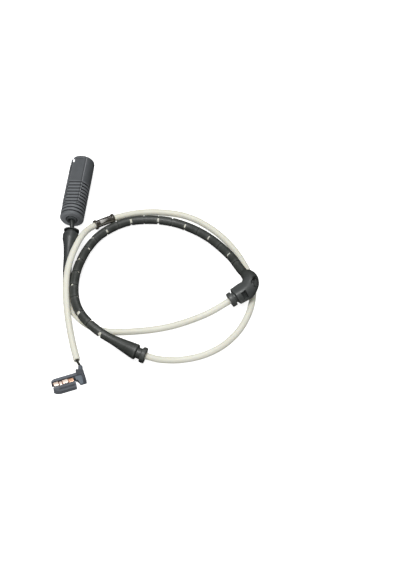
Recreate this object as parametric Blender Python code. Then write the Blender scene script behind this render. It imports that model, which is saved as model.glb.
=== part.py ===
"""Brake pad wear sensor: plug, lead, rubber boots, pale sheath, slotted rubber
conduit with elbow, cable clip and sensing head, as one reusable part.

Metres, +Z up, floor at z = 0.  One named object per separate piece.
Run with:  blender --background --python part.py
"""
import bpy
import bmesh
import math
from mathutils import Vector, Matrix

for ob in list(bpy.data.objects):
    bpy.data.objects.remove(ob, do_unlink=True)

# ------------------------------------------------------------------ dimensions
# all in millimetres; MM turns them into metres
MM = 0.001
SHIFT_X = 28.379        # moves the routes' own origin to the frame's origin
SHIFT_Y = -7.54

SHEATH_R = 2.15         # pale outer sheath
SHEATH_BORE_R = 1.35
SHEATH_NECK_R = 2.0     # where the clip grips it
WIRE_R = 0.80           # twin conductor run inside the sheath
JACKET_R = 1.55         # black jacketed lead between plug and boot
FIT = 0.32              # clearance between nested pieces

CONDUIT_R = 3.0
CONDUIT_BORE_R = SHEATH_R + FIT + 0.05
CUT_FLOOR = 0.45        # how near the centreline a cross cut comes
# cross cuts of the conduit: place after the elbow, how far the cut's side is
# turned up, width; from the bend's inside and from its outside
SLOTS_IN = ((-1.0, -20, 0.8), (17.0, 26, 0.9), (37.7, 15, 1.0), (57.8, 12, 1.05), (77.5, 8, 1.1), (96.4, 16, 1.1),
            (115.3, -3, 1.15), (135.5, -6, 1.15), (157.6, -14, 1.0), (178.2, -16, 1.0), (200.3, -10, 1.3))
SLOTS_OUT = ((8.4, 60, 1.1), (27.5, 55, 1.1), (47.6, 50, 1.1), (68.0, 16, 1.4), (87.2, 24, 1.7), (106.1, 24, 1.8),
             (126.5, -6, 1.6), (146.7, -6, 1.9), (168.7, 0, 1.8), (190.7, 0, 2.3), (211.0, 8, 2.1))

PLUG_R = 8.1
PLUG_LEN = 49.7
PLUG_YAW = 83.5         # degrees from +X
PLUG_BACK = (-86.9, 47.8, 8.1)
MOUTH_R = 6.5
MOUTH_DEPTH = 24.5
GROOVES = 10
GROOVE_PITCH = 2.7
GROOVE_FIRST = 1.8
GROOVE_W = 1.15
GROOVE_DEPTH = 0.6
PANEL_TILT = -8.0       # degrees from straight up, towards the left
PANEL_HALF = 4.9
PANEL_DIST = 7.6
LATCH_R = 7.1           # wider bore behind the latch slot
LATCH_DEPTH = 6.4

HEAD_O = (-94.0, -77.5)
HEAD_YAW = 19.0
HEAD_H = 6.6

# ---------------------------------------------------------------- route points
# one continuous run, from the plug's rear seal to the head's neck.  The named
# entries mark where pieces start and end.
ROUTE = [
    ("lead", (-86.4, 51.5, 8.1)), (None, (-86.7, 48.0, 8.1)), (None, (-86.6, 45.2, 7.6)),
    (None, (-86.4, 42.2, 6.5)), ("boot_top", (-86.6, 40.7, 5.9)), (None, (-87.1, 36.0, 5.5)),
    (None, (-87.6, 30.0, 4.9)), ("boot_mid", (-88.0, 25.4, 4.3)), (None, (-88.2, 20.1, 3.6)),
    (None, (-88.2, 8.3, 3.0)), ("boot_end", (-87.5, -5.1, 2.9)),
    (None, (-86.3, -13.4, 2.3)), (None, (-83.9, -20.4, 2.2)), (None, (-79.8, -26.2, 2.2)),
    (None, (-75.6, -30.3, 2.2)), (None, (-70.2, -34.0, 2.2)), (None, (-64.5, -36.4, 2.2)),
    (None, (-58.0, -37.6, 2.2)), (None, (-49.0, -37.6, 2.2)), (None, (-38.7, -36.9, 2.2)),
    (None, (-28.0, -35.4, 2.2)), (None, (-17.4, -32.9, 2.3)), (None, (-6.7, -29.2, 2.7)),
    (None, (3.7, -25.1, 4.0)), (None, (8.9, -22.8, 5.3)),
    (None, (13.9, -20.4, 7.0)), ("elbow_start", (19.0, -17.7, 8.6)), (None, (23.3, -14.9, 9.8)),
    (None, (27.3, -11.3, 10.6)), (None, (30.2, -7.0, 10.9)), (None, (30.9, -2.4, 10.9)),
    (None, (29.5, 1.0, 10.7)), ("elbow_end", (27.8, 3.7, 10.3)),
    (None, (24.6, 9.3, 9.4)), (None, (21.6, 15.2, 8.5)), (None, (17.6, 21.0, 7.6)),
    (None, (13.6, 26.2, 6.7)), (None, (9.4, 31.1, 5.9)), (None, (5.0, 35.5, 5.2)),
    (None, (0.1, 39.5, 4.6)), (None, (-5.0, 43.0, 4.0)), (None, (-10.6, 46.1, 3.6)),
    (None, (-16.2, 48.5, 3.3)), (None, (-21.8, 50.2, 3.1)), (None, (-27.6, 51.3, 3.0)),
    (None, (-33.2, 51.7, 3.0)), (None, (-38.7, 51.6, 3.0)), (None, (-44.6, 51.0, 3.0)),
    (None, (-50.4, 49.6, 3.0)), (None, (-55.7, 47.3, 3.0)), (None, (-60.8, 44.2, 3.1)),
    (None, (-65.7, 40.3, 3.3)), (None, (-70.0, 35.7, 3.6)), (None, (-73.6, 30.1, 4.0)),
    (None, (-76.8, 23.5, 4.6)), (None, (-79.3, 16.4, 5.4)), (None, (-81.1, 9.6, 6.2)),
    (None, (-82.2, 2.4, 7.0)), (None, (-82.6, -5.1, 7.6)), (None, (-82.2, -12.1, 8.0)),
    (None, (-80.9, -18.9, 8.2)), (None, (-78.6, -24.9, 8.2)), (None, (-75.4, -30.1, 8.2)),
    (None, (-71.6, -34.7, 8.2)), (None, (-67.3, -38.8, 8.0)), (None, (-62.8, -42.4, 7.7)),
    ("cone_start", (-58.1, -45.4, 7.3)), (None, (-52.2, -48.7, 6.8)), (None, (-46.4, -51.9, 6.3)),
    (None, (-40.7, -55.0, 5.8)), ("conduit_end", (-34.6, -57.6, 5.3)),
    (None, (-31.6, -58.3, 4.7)), (None, (-26.5, -59.0, 3.5)), (None, (-20.7, -59.0, 2.6)),
    (None, (-15.3, -58.8, 2.2)), (None, (-9.7, -58.2, 2.2)), (None, (-4.3, -57.1, 2.2)),
    (None, (1.1, -55.4, 2.2)), (None, (6.5, -53.0, 2.2)), (None, (11.7, -49.9, 2.2)),
    (None, (16.2, -46.4, 2.2)), (None, (20.3, -42.2, 2.2)), (None, (24.0, -37.7, 2.2)),
    (None, (27.2, -32.5, 2.2)), (None, (30.0, -26.6, 2.2)), (None, (32.3, -20.3, 2.2)),
    (None, (33.8, -13.4, 2.2)), (None, (34.4, -6.3, 2.2)), (None, (33.8, 0.8, 2.2)),
    (None, (32.0, 7.6, 2.2)), (None, (29.4, 14.2, 2.2)), (None, (26.7, 19.9, 2.2)),
    (None, (23.8, 25.2, 2.2)), (None, (20.3, 30.5, 2.2)), (None, (16.2, 35.8, 2.2)),
    (None, (11.6, 40.8, 2.2)), (None, (6.7, 45.2, 2.2)), (None, (1.6, 49.1, 2.2)),
    (None, (-3.7, 52.4, 2.2)), (None, (-9.4, 55.0, 2.2)), (None, (-15.3, 56.8, 2.2)),
    (None, (-21.3, 57.9, 2.2)), (None, (-27.3, 58.5, 2.2)), (None, (-33.3, 58.7, 2.2)),
    (None, (-39.2, 58.4, 2.2)), (None, (-45.2, 57.4, 2.3)), (None, (-50.9, 55.8, 2.6)),
    (None, (-55.6, 54.1, 2.9)), ("clip_start", (-58.6, 52.8, 3.3)), (None, (-64.7, 50.1, 3.4)),
    ("clip_end", (-71.4, 46.3, 3.8)), (None, (-74.2, 43.7, 4.6)),
    (None, (-77.2, 39.6, 6.0)), (None, (-80.0, 33.3, 8.0)), (None, (-82.4, 26.2, 9.3)),
    (None, (-84.5, 19.4, 9.7)), (None, (-86.2, 12.8, 9.4)), (None, (-87.3, 6.2, 9.0)),
    (None, (-87.8, -1.0, 8.9)), (None, (-87.7, -7.6, 8.8)), (None, (-87.3, -14.2, 8.5)),
    (None, (-86.7, -20.4, 7.8)), (None, (-85.9, -26.5, 6.8)), (None, (-84.9, -32.6, 5.5)),
    (None, (-83.8, -38.2, 4.2)), (None, (-82.6, -43.6, 3.1)), (None, (-81.1, -49.7, 2.4)),
    (None, (-79.5, -55.4, 2.3)), ("sheath_end", (-78.2, -60.1, 2.6)),
    ("head_neck", (-76.1, -64.0, 3.4)), (None, (-75.5, -66.9, 3.7)),
    ("wire_end", (-75.2, -69.9, 3.8)),
]


# --------------------------------------------------------------------- helpers
def at(x, y, z):
    """Route millimetres to frame metres."""
    return Vector(((x + SHIFT_X) * MM, (y + SHIFT_Y) * MM, z * MM))


def smooth(points, per=14):
    """Centripetal Catmull-Rom through the points, sampled densely."""
    P = [Vector(p) for p in points]
    P = [P[0] * 2 - P[1]] + P + [P[-1] * 2 - P[-2]]
    out, marks = [], []
    for i in range(1, len(P) - 2):
        p0, p1, p2, p3 = P[i - 1], P[i], P[i + 1], P[i + 2]
        t0 = 0.0
        t1 = t0 + max((p1 - p0).length, 1e-9) ** 0.5
        t2 = t1 + max((p2 - p1).length, 1e-9) ** 0.5
        t3 = t2 + max((p3 - p2).length, 1e-9) ** 0.5
        marks.append(len(out))
        for k in range(per):
            t = t1 + (t2 - t1) * k / per
            a1 = p0 * ((t1 - t) / (t1 - t0)) + p1 * ((t - t0) / (t1 - t0))
            a2 = p1 * ((t2 - t) / (t2 - t1)) + p2 * ((t - t1) / (t2 - t1))
            a3 = p2 * ((t3 - t) / (t3 - t2)) + p3 * ((t - t2) / (t3 - t2))
            b1 = a1 * ((t2 - t) / (t2 - t0)) + a2 * ((t - t0) / (t2 - t0))
            b2 = a2 * ((t3 - t) / (t3 - t1)) + a3 * ((t - t1) / (t3 - t1))
            out.append(b1 * ((t2 - t) / (t2 - t1)) + b2 * ((t - t1) / (t2 - t1)))
    marks.append(len(out))
    out.append(P[-2].copy())
    return out, marks


class Run:
    """A smooth centreline that is read by its own length, in millimetres."""

    def __init__(self, points):
        self.pts, self.marks = smooth(points)
        self.len = [0.0]
        for a, b in zip(self.pts, self.pts[1:]):
            self.len.append(self.len[-1] + (b - a).length)

    def mark(self, i):
        return self.len[self.marks[i]]

    def pos(self, s):
        s = max(0.0, min(self.len[-1], s))
        lo, hi = 0, len(self.len) - 1
        while hi - lo > 1:
            m = (lo + hi) // 2
            if self.len[m] <= s:
                lo = m
            else:
                hi = m
        d = self.len[hi] - self.len[lo]
        f = 0.0 if d < 1e-9 else (s - self.len[lo]) / d
        return self.pts[lo].lerp(self.pts[hi], f)

    def tan(self, s, h=0.6):
        a = self.pos(max(0.0, s - h))
        b = self.pos(min(self.len[-1], s + h))
        return (b - a).normalized()


RUN = Run([p for _, p in ROUTE])
AT = {name: RUN.mark(i) for i, (name, _) in enumerate(ROUTE) if name}


def stations(a, b, step):
    n = max(1, int(math.ceil((b - a) / step - 1e-6)))
    return [a + (b - a) * k / n for k in range(n + 1)]


ELBOW_A = AT["elbow_start"] - 0.2        # outer face of the elbow's flange
ELBOW_B = AT["elbow_end"]
CONDUIT_Z = AT["conduit_end"] - 0.2      # outer face of the lower boot's flange
STATION = []
for lo, hi, st in [(0.0, AT["boot_top"], 4.0), (AT["boot_top"], AT["boot_mid"], 5.2),
                   (AT["boot_mid"], AT["boot_end"], 8.0), (AT["boot_end"], ELBOW_A, 13.0),
                   (ELBOW_A, ELBOW_B + 1.0, 3.6), (ELBOW_B + 1.0, AT["cone_start"], 11.4),
                   (AT["cone_start"], CONDUIT_Z, 8.8), (CONDUIT_Z, AT["clip_start"], 12.8),
                   (AT["clip_start"], AT["clip_end"], 7.0), (AT["clip_end"], AT["sheath_end"], 11.4),
                   (AT["sheath_end"], AT["wire_end"], 3.8)]:
    STATION += stations(lo, hi, st)[0 if not STATION else 1:]


def between(a, b):
    """Shared stations from a to b, so that nested pieces bend alike."""
    return [a] + [s for s in STATION if a + 0.3 < s < b - 0.3] + [b]


def chord_pos(s):
    """A point on the polygon through the shared stations."""
    for lo, hi in zip(STATION, STATION[1:]):
        if lo <= s <= hi + 1e-6:
            f = (s - lo) / (hi - lo)
            return RUN.pos(lo).lerp(RUN.pos(hi), min(1.0, max(0.0, f)))
    return RUN.pos(s)


def frame_at(tangent):
    side = Vector((0, 0, 1)).cross(tangent)
    if side.length < 1e-5:
        side = Vector((1, 0, 0))
    side.normalize()
    up = tangent.cross(side).normalized()
    return side, up


def material(name, colour, rough, metal=0.0):
    m = bpy.data.materials.new(name)
    m.use_nodes = True
    b = m.node_tree.nodes.get("Principled BSDF")
    b.inputs["Base Color"].default_value = (*colour, 1.0)
    b.inputs["Roughness"].default_value = rough
    b.inputs["Metallic"].default_value = metal
    m.diffuse_color = (*colour, 1.0)
    return m


def finish(bm, name, mat, round_shade=True):
    bmesh.ops.remove_doubles(bm, verts=bm.verts, dist=1e-6)
    bmesh.ops.recalc_face_normals(bm, faces=bm.faces)
    me = bpy.data.meshes.new(name)
    bm.to_mesh(me)
    bm.free()
    ob = bpy.data.objects.new(name, me)
    bpy.context.scene.collection.objects.link(ob)
    if mat is not None:
        me.materials.append(mat)
    for p in me.polygons:
        p.use_smooth = round_shade
    return ob


def bridge(bm, ra, rb):
    n = len(ra)
    for k in range(n):
        bm.faces.new((ra[k], ra[(k + 1) % n], rb[(k + 1) % n], rb[k]))


def ring(bm, c, side, up, r, n, spin=0.0):
    return [bm.verts.new(c + (side * math.cos(spin + 2 * math.pi * k / n)
                              + up * math.sin(spin + 2 * math.pi * k / n)) * r)
            for k in range(n)]


def sweep(name, rows, sides, mat, inner=None):
    """rows: (s, radius, sideways offset) along RUN; inner: same, for a bore."""
    bm = bmesh.new()

    def rings(table):
        out = []
        for s, r, off in table:
            t = RUN.tan(s)
            side, up = frame_at(t)
            c = chord_pos(s) + side * off
            out.append(ring(bm, at(*c), side, up, r * MM, sides))
        return out

    o = rings(rows)
    for a, b in zip(o, o[1:]):
        bridge(bm, a, b)
    if inner is None:
        bm.faces.new(o[0])
        bm.faces.new(list(reversed(o[-1])))
    else:
        i = rings(inner)
        for a, b in zip(i, i[1:]):
            bridge(bm, b, a)
        bridge(bm, i[0], o[0])
        bridge(bm, o[-1], i[-1])
    return finish(bm, name, mat)


def lathe(name, origin, axis, right, up, profile, sides, mat, solid=False):
    """Turns (distance along the axis, radius) round the axis. A closed loop,
    or with solid=True an open line whose ends are capped."""
    bm = bmesh.new()
    rows = [ring(bm, origin + axis * (s * MM), right, up, r * MM, sides) for s, r in profile]
    for a, b in zip(rows, rows[1:]):
        bridge(bm, a, b)
    if solid:
        bm.faces.new(rows[0])
        bm.faces.new(list(reversed(rows[-1])))
    else:
        bridge(bm, rows[-1], rows[0])
    return finish(bm, name, mat)


def box(bm, origin, ex, ey, ez, lo, hi):
    """A box in the axes ex, ey, ez, corners lo and hi in millimetres."""
    v = []
    for k in (lo[2], hi[2]):
        for j in (lo[1], hi[1]):
            for i in (lo[0], hi[0]):
                v.append(bm.verts.new(origin + (ex * i + ey * j + ez * k) * MM))
    for f in ((0, 2, 3, 1), (4, 5, 7, 6), (0, 1, 5, 4), (2, 6, 7, 3), (0, 4, 6, 2), (1, 3, 7, 5)):
        bm.faces.new([v[n] for n in f])


def prism(bm, origin, ex, ey, ez, outline, z0, z1):
    """An outline in ex, ey pulled along ez."""
    lo = [bm.verts.new(origin + (ex * x + ey * y + ez * z0) * MM) for x, y in outline]
    hi = [bm.verts.new(origin + (ex * x + ey * y + ez * z1) * MM) for x, y in outline]
    bm.faces.new(list(reversed(lo)))
    bm.faces.new(hi)
    bridge(bm, lo, hi)


def combine(target, tool, how):
    mod = target.modifiers.new(how.lower(), "BOOLEAN")
    mod.operation = how
    mod.solver = "EXACT"
    mod.object = tool
    bpy.context.view_layer.update()
    dg = bpy.context.evaluated_depsgraph_get()
    me = bpy.data.meshes.new_from_object(target.evaluated_get(dg))
    target.modifiers.clear()
    old = target.data
    target.data = me
    bpy.data.meshes.remove(old)
    bpy.data.objects.remove(tool, do_unlink=True)
    return target


def clean(ob, flat_angle=38.0):
    """Drops slivers left by a cut, and keeps hard edges hard."""
    bm = bmesh.new()
    bm.from_mesh(ob.data)
    bmesh.ops.remove_doubles(bm, verts=bm.verts, dist=2e-7)
    bmesh.ops.recalc_face_normals(bm, faces=bm.faces)
    for e in bm.edges:
        if len(e.link_faces) == 2:
            e.smooth = e.calc_face_angle(0.0) < math.radians(flat_angle)
    bm.to_mesh(ob.data)
    bm.free()
    for p in ob.data.polygons:
        p.use_smooth = True
    return ob


# ------------------------------------------------------------------- materials
M_PLUG = material("plug_plastic", (0.085, 0.095, 0.105), 0.42)
M_INSERT = material("insert_plastic", (0.16, 0.17, 0.18), 0.5)
M_BRASS = material("terminal_brass", (0.72, 0.55, 0.25), 0.3, 1.0)
M_SEAL = material("seal_rubber", (0.02, 0.022, 0.02), 0.6)
M_SEAL2 = material("face_seal_rubber", (0.05, 0.03, 0.02), 0.6)
M_JACKET = material("jacket_black", (0.025, 0.027, 0.025), 0.5)
M_CORE_A = material("core_black", (0.03, 0.03, 0.03), 0.5)
M_CORE_B = material("core_brown", (0.10, 0.045, 0.02), 0.5)
M_BOOT = material("boot_rubber", (0.045, 0.05, 0.047), 0.55)
M_SHEATH = material("sheath_ivory", (0.80, 0.79, 0.68), 0.45)
M_WIRE = material("wire_black", (0.03, 0.03, 0.026), 0.45)
M_CONDUIT = material("conduit_rubber", (0.043, 0.047, 0.044), 0.55)
M_CLIP = material("clip_plastic", (0.035, 0.035, 0.03), 0.25)
M_HEAD = material("head_plastic", (0.11, 0.13, 0.15), 0.45)
M_SPRING = material("spring_copper", (0.85, 0.52, 0.35), 0.25, 1.0)
M_LOOP = material("loop_copper", (0.72, 0.38, 0.22), 0.35, 1.0)

# ------------------------------------------------------------------------ plug
PY = math.radians(PLUG_YAW)
P_AX = Vector((math.cos(PY), math.sin(PY), 0))
P_RT = Vector((math.sin(PY), -math.cos(PY), 0))
P_UP = Vector((0, 0, 1))
P_O = at(*PLUG_BACK)


def plug_dir(deg):
    """Direction across the plug, degrees from straight up towards the right."""
    a = math.radians(deg)
    return P_UP * math.cos(a) + P_RT * math.sin(a)


def housing_profile():
    rows = [(0.0, 4.05), (0.0, 6.4), (0.35, 7.3), (1.15, PLUG_R)]
    for k in range(GROOVES):
        s = GROOVE_FIRST + GROOVE_PITCH * k
        rows += [(s, PLUG_R), (s + 0.2, PLUG_R - GROOVE_DEPTH),
                 (s + GROOVE_W - 0.2, PLUG_R - GROOVE_DEPTH), (s + GROOVE_W, PLUG_R)]
    rows += [(PLUG_LEN - 0.3, PLUG_R), (PLUG_LEN, PLUG_R - 0.25), (PLUG_LEN, LATCH_R + 0.12),
             (PLUG_LEN - 0.15, LATCH_R), (PLUG_LEN - LATCH_DEPTH, LATCH_R),
             (PLUG_LEN - LATCH_DEPTH - 0.5, MOUTH_R), (PLUG_LEN - MOUTH_DEPTH, MOUTH_R),
             (PLUG_LEN - MOUTH_DEPTH, 5.25), (6.2, 5.25), (6.2, 4.05)]
    return rows


housing = lathe("plug_housing", P_O, P_AX, P_RT, P_UP, housing_profile(), 28, M_PLUG)
pn = plug_dir(PANEL_TILT)                # out of the panel
pw = pn.cross(P_AX)                      # across the panel
if pw.dot(P_RT) < 0:
    pw = -pw
bm = bmesh.new()
box(bm, P_O, pw, pn, P_AX, (-PANEL_HALF + 0.3, PANEL_DIST - 0.62, 9.55), (PANEL_HALF - 0.3, PANEL_DIST + 2, PLUG_LEN - 2.5))
combine(housing, finish(bm, "tool_flat", None, False), "DIFFERENCE")
teeth = [(9.35, PANEL_DIST - 1.0), (9.35, PANEL_DIST)]
for k in range(3, GROOVES):
    s = GROOVE_FIRST + GROOVE_PITCH * k + 0.08
    if k > 3:
        teeth.append((s, PANEL_DIST))
        teeth.append((s, PANEL_DIST - 0.5))
    else:
        teeth[1] = (9.35, PANEL_DIST - 0.5)
    teeth.append((s + GROOVE_W, PANEL_DIST - 0.5))
    teeth.append((s + GROOVE_W, PANEL_DIST))
teeth += [(PLUG_LEN - 2.7, PANEL_DIST), (PLUG_LEN - 2.3, PANEL_DIST - 0.5), (PLUG_LEN - 2.3, PANEL_DIST - 1.0)]
bm = bmesh.new()
prism(bm, P_O, P_AX, pn, pw, teeth, -PANEL_HALF, PANEL_HALF)
combine(housing, finish(bm, "tool_panel", None, False), "UNION")
# latch window beside the mouth, with its bar on the outside
bm = bmesh.new()
wn = plug_dir(-47.0)
ww = wn.cross(P_AX)
if ww.dot(P_RT) < 0:
    ww = -ww
box(bm, P_O, ww, wn, P_AX, (-3.1, 4.6, PLUG_LEN - 5.7), (1.9, 11.0, PLUG_LEN - 1.8))
combine(housing, finish(bm, "tool_window", None, False), "DIFFERENCE")
# and the slot's way out through the rim
bm = bmesh.new()
wn = plug_dir(-57.0)
ww = wn.cross(P_AX)
if ww.dot(P_RT) < 0:
    ww = -ww
box(bm, P_O, ww, wn, P_AX, (-0.98, 4.3, PLUG_LEN - 3.1), (0.95, 11.3, PLUG_LEN + 1.5))
combine(housing, finish(bm, "tool_way_out", None, False), "DIFFERENCE")
clean(housing)

insert = lathe("plug_insert", P_O, P_AX, P_RT, P_UP,
               [(6.55, 4.9), (34.6, 4.9), (35.0, 4.5)], 20, M_INSERT, solid=True)
bm = bmesh.new()
for sx in (-1, 1):
    c = P_O + P_RT * (2.1 * sx * MM)
    a = ring(bm, c + P_AX * (8.0 * MM), P_RT, P_UP, 1.42 * MM, 12)
    b = ring(bm, c + P_AX * (38.0 * MM), P_RT, P_UP, 1.42 * MM, 12)
    bridge(bm, a, b)
    bm.faces.new(a)
    bm.faces.new(list(reversed(b)))
combine(insert, finish(bm, "tool_bores", None, False), "DIFFERENCE")
bm = bmesh.new()
a = ring(bm, P_O + P_AX * (5.0 * MM), P_RT, P_UP, 4.2 * MM, 20)
b = ring(bm, P_O + P_AX * (10.5 * MM), P_RT, P_UP, 4.2 * MM, 20)
bridge(bm, a, b)
bm.faces.new(a)
bm.faces.new(list(reversed(b)))
combine(insert, finish(bm, "tool_recess", None, False), "DIFFERENCE")
clean(insert)

for sx, nm in ((-1, "terminal_a"), (1, "terminal_b")):
    c = P_O + P_RT * (2.1 * sx * MM)
    lathe(nm, c, P_AX, P_RT, P_UP, [(16.0, 0.55), (16.0, 1.1), (34.2, 1.1), (34.2, 0.55)], 12, M_BRASS)
lathe("face_seal", P_O, P_AX, P_RT, P_UP,
      [(25.6, 5.25), (25.6, 6.0), (26.4, 6.15), (28.0, 6.15), (28.8, 6.0), (28.8, 5.25)],
      20, M_SEAL2)
lathe("wire_seal", P_O, P_AX, P_RT, P_UP,
      [(-0.9, 1.9), (-0.9, 3.2), (-0.5, 3.7), (5.3, 3.7), (5.7, 3.3), (5.7, 1.9)], 18, M_SEAL)
for sx, nm, mt in ((-1, "core_a", M_CORE_A), (1, "core_b", M_CORE_B)):
    bm = bmesh.new()
    line = [(4.9, 0.72), (6.6, 0.9), (8.6, 1.9), (10.6, 2.1), (13.0, 2.1), (15.6, 2.1)]
    rows = []
    for s, off in line:
        rows.append(ring(bm, P_O + P_AX * (s * MM) + P_RT * (off * sx * MM), P_RT, P_UP, 0.42 * MM, 8))
    for a, b in zip(rows, rows[1:]):
        bridge(bm, a, b)
    bm.faces.new(rows[0])
    bm.faces.new(list(reversed(rows[-1])))
    finish(bm, nm, mt)


# ----------------------------------------------------------------- cable route
def tube_curve(name, stops, radius, mat, res=2):
    cu = bpy.data.curves.new(name, "CURVE")
    cu.dimensions = "3D"
    cu.bevel_depth = radius * MM
    cu.bevel_resolution = res
    cu.use_fill_caps = True
    cu.render_resolution_u = 0
    cu.resolution_u = 1
    sp = cu.splines.new("POLY")
    sp.points.add(len(stops) - 1)
    for q, s in zip(sp.points, stops):
        q.co = (*at(*chord_pos(s)), 1.0)
    sp.use_smooth = True
    ob = bpy.data.objects.new(name, cu)
    bpy.context.scene.collection.objects.link(ob)
    cu.materials.append(mat)
    return ob


JACKET_END = AT["boot_mid"] - 4.0
tube_curve("lead_jacket", between(0.0, JACKET_END), JACKET_R, M_JACKET)
tube_curve("sensor_wire", between(JACKET_END + 0.4, AT["wire_end"]), WIRE_R, M_WIRE)

SHEATH_A = AT["boot_mid"]
SHEATH_B = AT["sheath_end"] - 1.0


def sheath_r(s):
    d = min(abs(s - AT["clip_start"]), abs(s - AT["clip_end"]))
    inside = AT["clip_start"] <= s <= AT["clip_end"] or d < 0.4
    return SHEATH_NECK_R if inside else SHEATH_R


ss = between(SHEATH_A, SHEATH_B)
sweep("sheath", [(s, sheath_r(s), 0.0) for s in ss], 10, M_SHEATH,
      inner=[(s, SHEATH_BORE_R, 0.0) for s in ss])

# upper boot: flange, body and slotted tail, bored for the lead and the sheath
b0, b1, b2 = AT["boot_top"], AT["boot_mid"], AT["boot_end"]
outer = [(b0 - 0.9, 4.7), (b0 - 0.5, 5.15), (b0 + 1.25, 5.25), (b0 + 1.45, 3.75), (b0 + 2.75, 3.75),
         (b0 + 2.95, 5.25), (b0 + 7.4, 5.2), (b0 + 9.6, 4.5), (b0 + 13.0, 3.8), (b1 + 1.2, 3.35),
         (b1 + 5.6, 2.98), (b1 + 12.0, 2.9), (b1 + 20.0, 2.9), (b2 - 0.5, 2.9), (b2, 2.75)]
inner = [(b0 - 0.9, JACKET_R + FIT)]
inner += [(s, JACKET_R + FIT) for s in STATION if b0 + 0.3 < s < b1 - 1.2]
inner += [(b1 - 0.8, JACKET_R + FIT), (b1 - 0.7, SHEATH_R + FIT)]
inner += [(s, SHEATH_R + FIT) for s in STATION if b1 + 0.3 < s < b2 - 0.3]
inner += [(b2, SHEATH_R + FIT)]
boot = sweep("plug_boot", [(s, r, 0.0) for s, r in outer], 16, M_BOOT,
             inner=[(s, r, 0.0) for s, r in inner])


def slot_tools(name, slots, r):
    bm = bmesh.new()
    for s, deg, w, low in slots:
        t = RUN.tan(s)
        side, up = frame_at(t)
        a = math.radians(deg)
        d = side * math.cos(a) + up * math.sin(a)
        box(bm, at(*chord_pos(s)), t, d, t.cross(d), (-w / 2, low, -r - 1.5), (w / 2, r + 1.5, r + 1.5))
    return finish(bm, name, None, False)


combine(boot, slot_tools("tool_boot_slot", [(b1 + 17.5, 180, 1.3, 0.2)], 2.9), "DIFFERENCE")
clean(boot)

# ------------------------------------- elbow + slotted conduit + lower boot
e0, e1 = ELBOW_A, ELBOW_B
c0, c1 = AT["cone_start"], CONDUIT_Z
SHAPE = [  # s, radius towards the bend's inside, radius towards its outside
    (e0, 4.6, 4.6), (e0 + 0.35, 4.95, 4.95), (e0 + 2.95, 4.95, 4.95), (e0 + 3.12, 3.6, 3.6),
    (e0 + 4.3, 3.6, 3.6), (e0 + 4.45, 5.0, 5.0), (e0 + 4.85, 5.2, 5.2), (e0 + 8.0, 5.2, 6.2),
    (e0 + 11.5, 4.9, 7.4), (e0 + 15.0, 4.5, 7.9), (e0 + 18.0, 4.2, 7.8), (e0 + 20.6, 3.7, 7.1),
    (e0 + 23.2, 3.3, 5.7), (e0 + 25.2, 3.1, 4.5), (e0 + 26.0, CONDUIT_R, 3.3), (e0 + 26.3, CONDUIT_R, CONDUIT_R)]
tail = [s for s in STATION if e0 + 28.0 < s < c0 + 0.1]
SHAPE += [(s, CONDUIT_R, CONDUIT_R) for s in tail]
SHAPE += [(c0 + (c1 - c0) * f, r, r) for f, r in
          [(0.22, 3.5), (0.45, 4.25), (0.62, 4.85), (0.745, 5.15), (0.76, 5.0)]]
n1 = c0 + (c1 - c0) * 0.775
SHAPE += [(n1, 3.65, 3.65), (c1 - 3.0, 3.65, 3.65), (c1 - 2.85, 5.0, 5.0), (c1 - 2.5, 5.2, 5.2),
          (c1 - 0.35, 5.2, 5.2), (c1, 4.9, 4.9)]
rows = [(s, (a + b) / 2.0, -(b - a) / 2.0) for s, a, b in SHAPE]
bore = [(s, CONDUIT_BORE_R, 0.0) for s in between(e0, c1)]
conduit = sweep("slotted_conduit", rows, 14, M_CONDUIT, inner=bore)
slots = [(e1 + d, g, w, CUT_FLOOR if d > 0 else 1.7) for d, g, w in SLOTS_IN]
slots += [(e1 + d, 180 + g, w, CUT_FLOOR) for d, g, w in SLOTS_OUT]
combine(conduit, slot_tools("tool_slots", slots, CONDUIT_R), "DIFFERENCE")
# square pocket in the elbow's outer side
t = RUN.tan(e0 + 8.8)
side, up = frame_at(t)
a = math.radians(150)
d = side * math.cos(a) + up * math.sin(a)
bm = bmesh.new()
box(bm, at(*chord_pos(e0 + 8.8)), t, d, t.cross(d), (-1.8, 3.2, -3.5), (1.8, 10.0, 3.5))
combine(conduit, finish(bm, "tool_pocket", None, False), "DIFFERENCE")
clean(conduit)

# ------------------------------------------------------------------------ clip
k0, k1 = AT["clip_start"], AT["clip_end"]
ci = SHEATH_NECK_R + 0.3
clip_out = [(k0 + 0.1, 3.0), (k0 + 0.4, 3.3), (k0 + 1.6, 3.3), (k0 + 2.0, 2.68), ((k0 + k1) / 2, 2.66),
            (k1 - 2.0, 2.64), (k1 - 1.6, 3.3), (k1 - 0.4, 3.3), (k1 - 0.1, 3.0)]
clip_in = [(k0 + 0.1, ci), ((k0 + k1) / 2, ci), (k1 - 0.1, ci)]
clip = sweep("cable_clip", [(s, r, 0.0) for s, r in clip_out], 16, M_CLIP,
             inner=[(s, r, 0.0) for s, r in clip_in])
bm = bmesh.new()
t = RUN.tan((k0 + k1) / 2)
side, up = frame_at(t)
c = at(*chord_pos((k0 + k1) / 2))
look = (side * 0.72 - up * 0.10 + up * 0.35).normalized()
look2 = t.cross(look).normalized()
prism(bm, c, t, look, look2, [(-8.5, 0.8), (8.5, 0.8), (8.5, 4.5), (-8.5, 4.5)], -0.45, 0.45)
combine(clip, finish(bm, "tool_slit", None, False), "DIFFERENCE")
clean(clip)

# ------------------------------------------------------------------------ head
HY = math.radians(HEAD_YAW)
H_X = Vector((math.cos(HY), math.sin(HY), 0))
H_Y = Vector((-math.sin(HY), math.cos(HY), 0))
H_Z = Vector((0, 0, 1))
H_O = at(HEAD_O[0], HEAD_O[1], 0.0)


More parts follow.
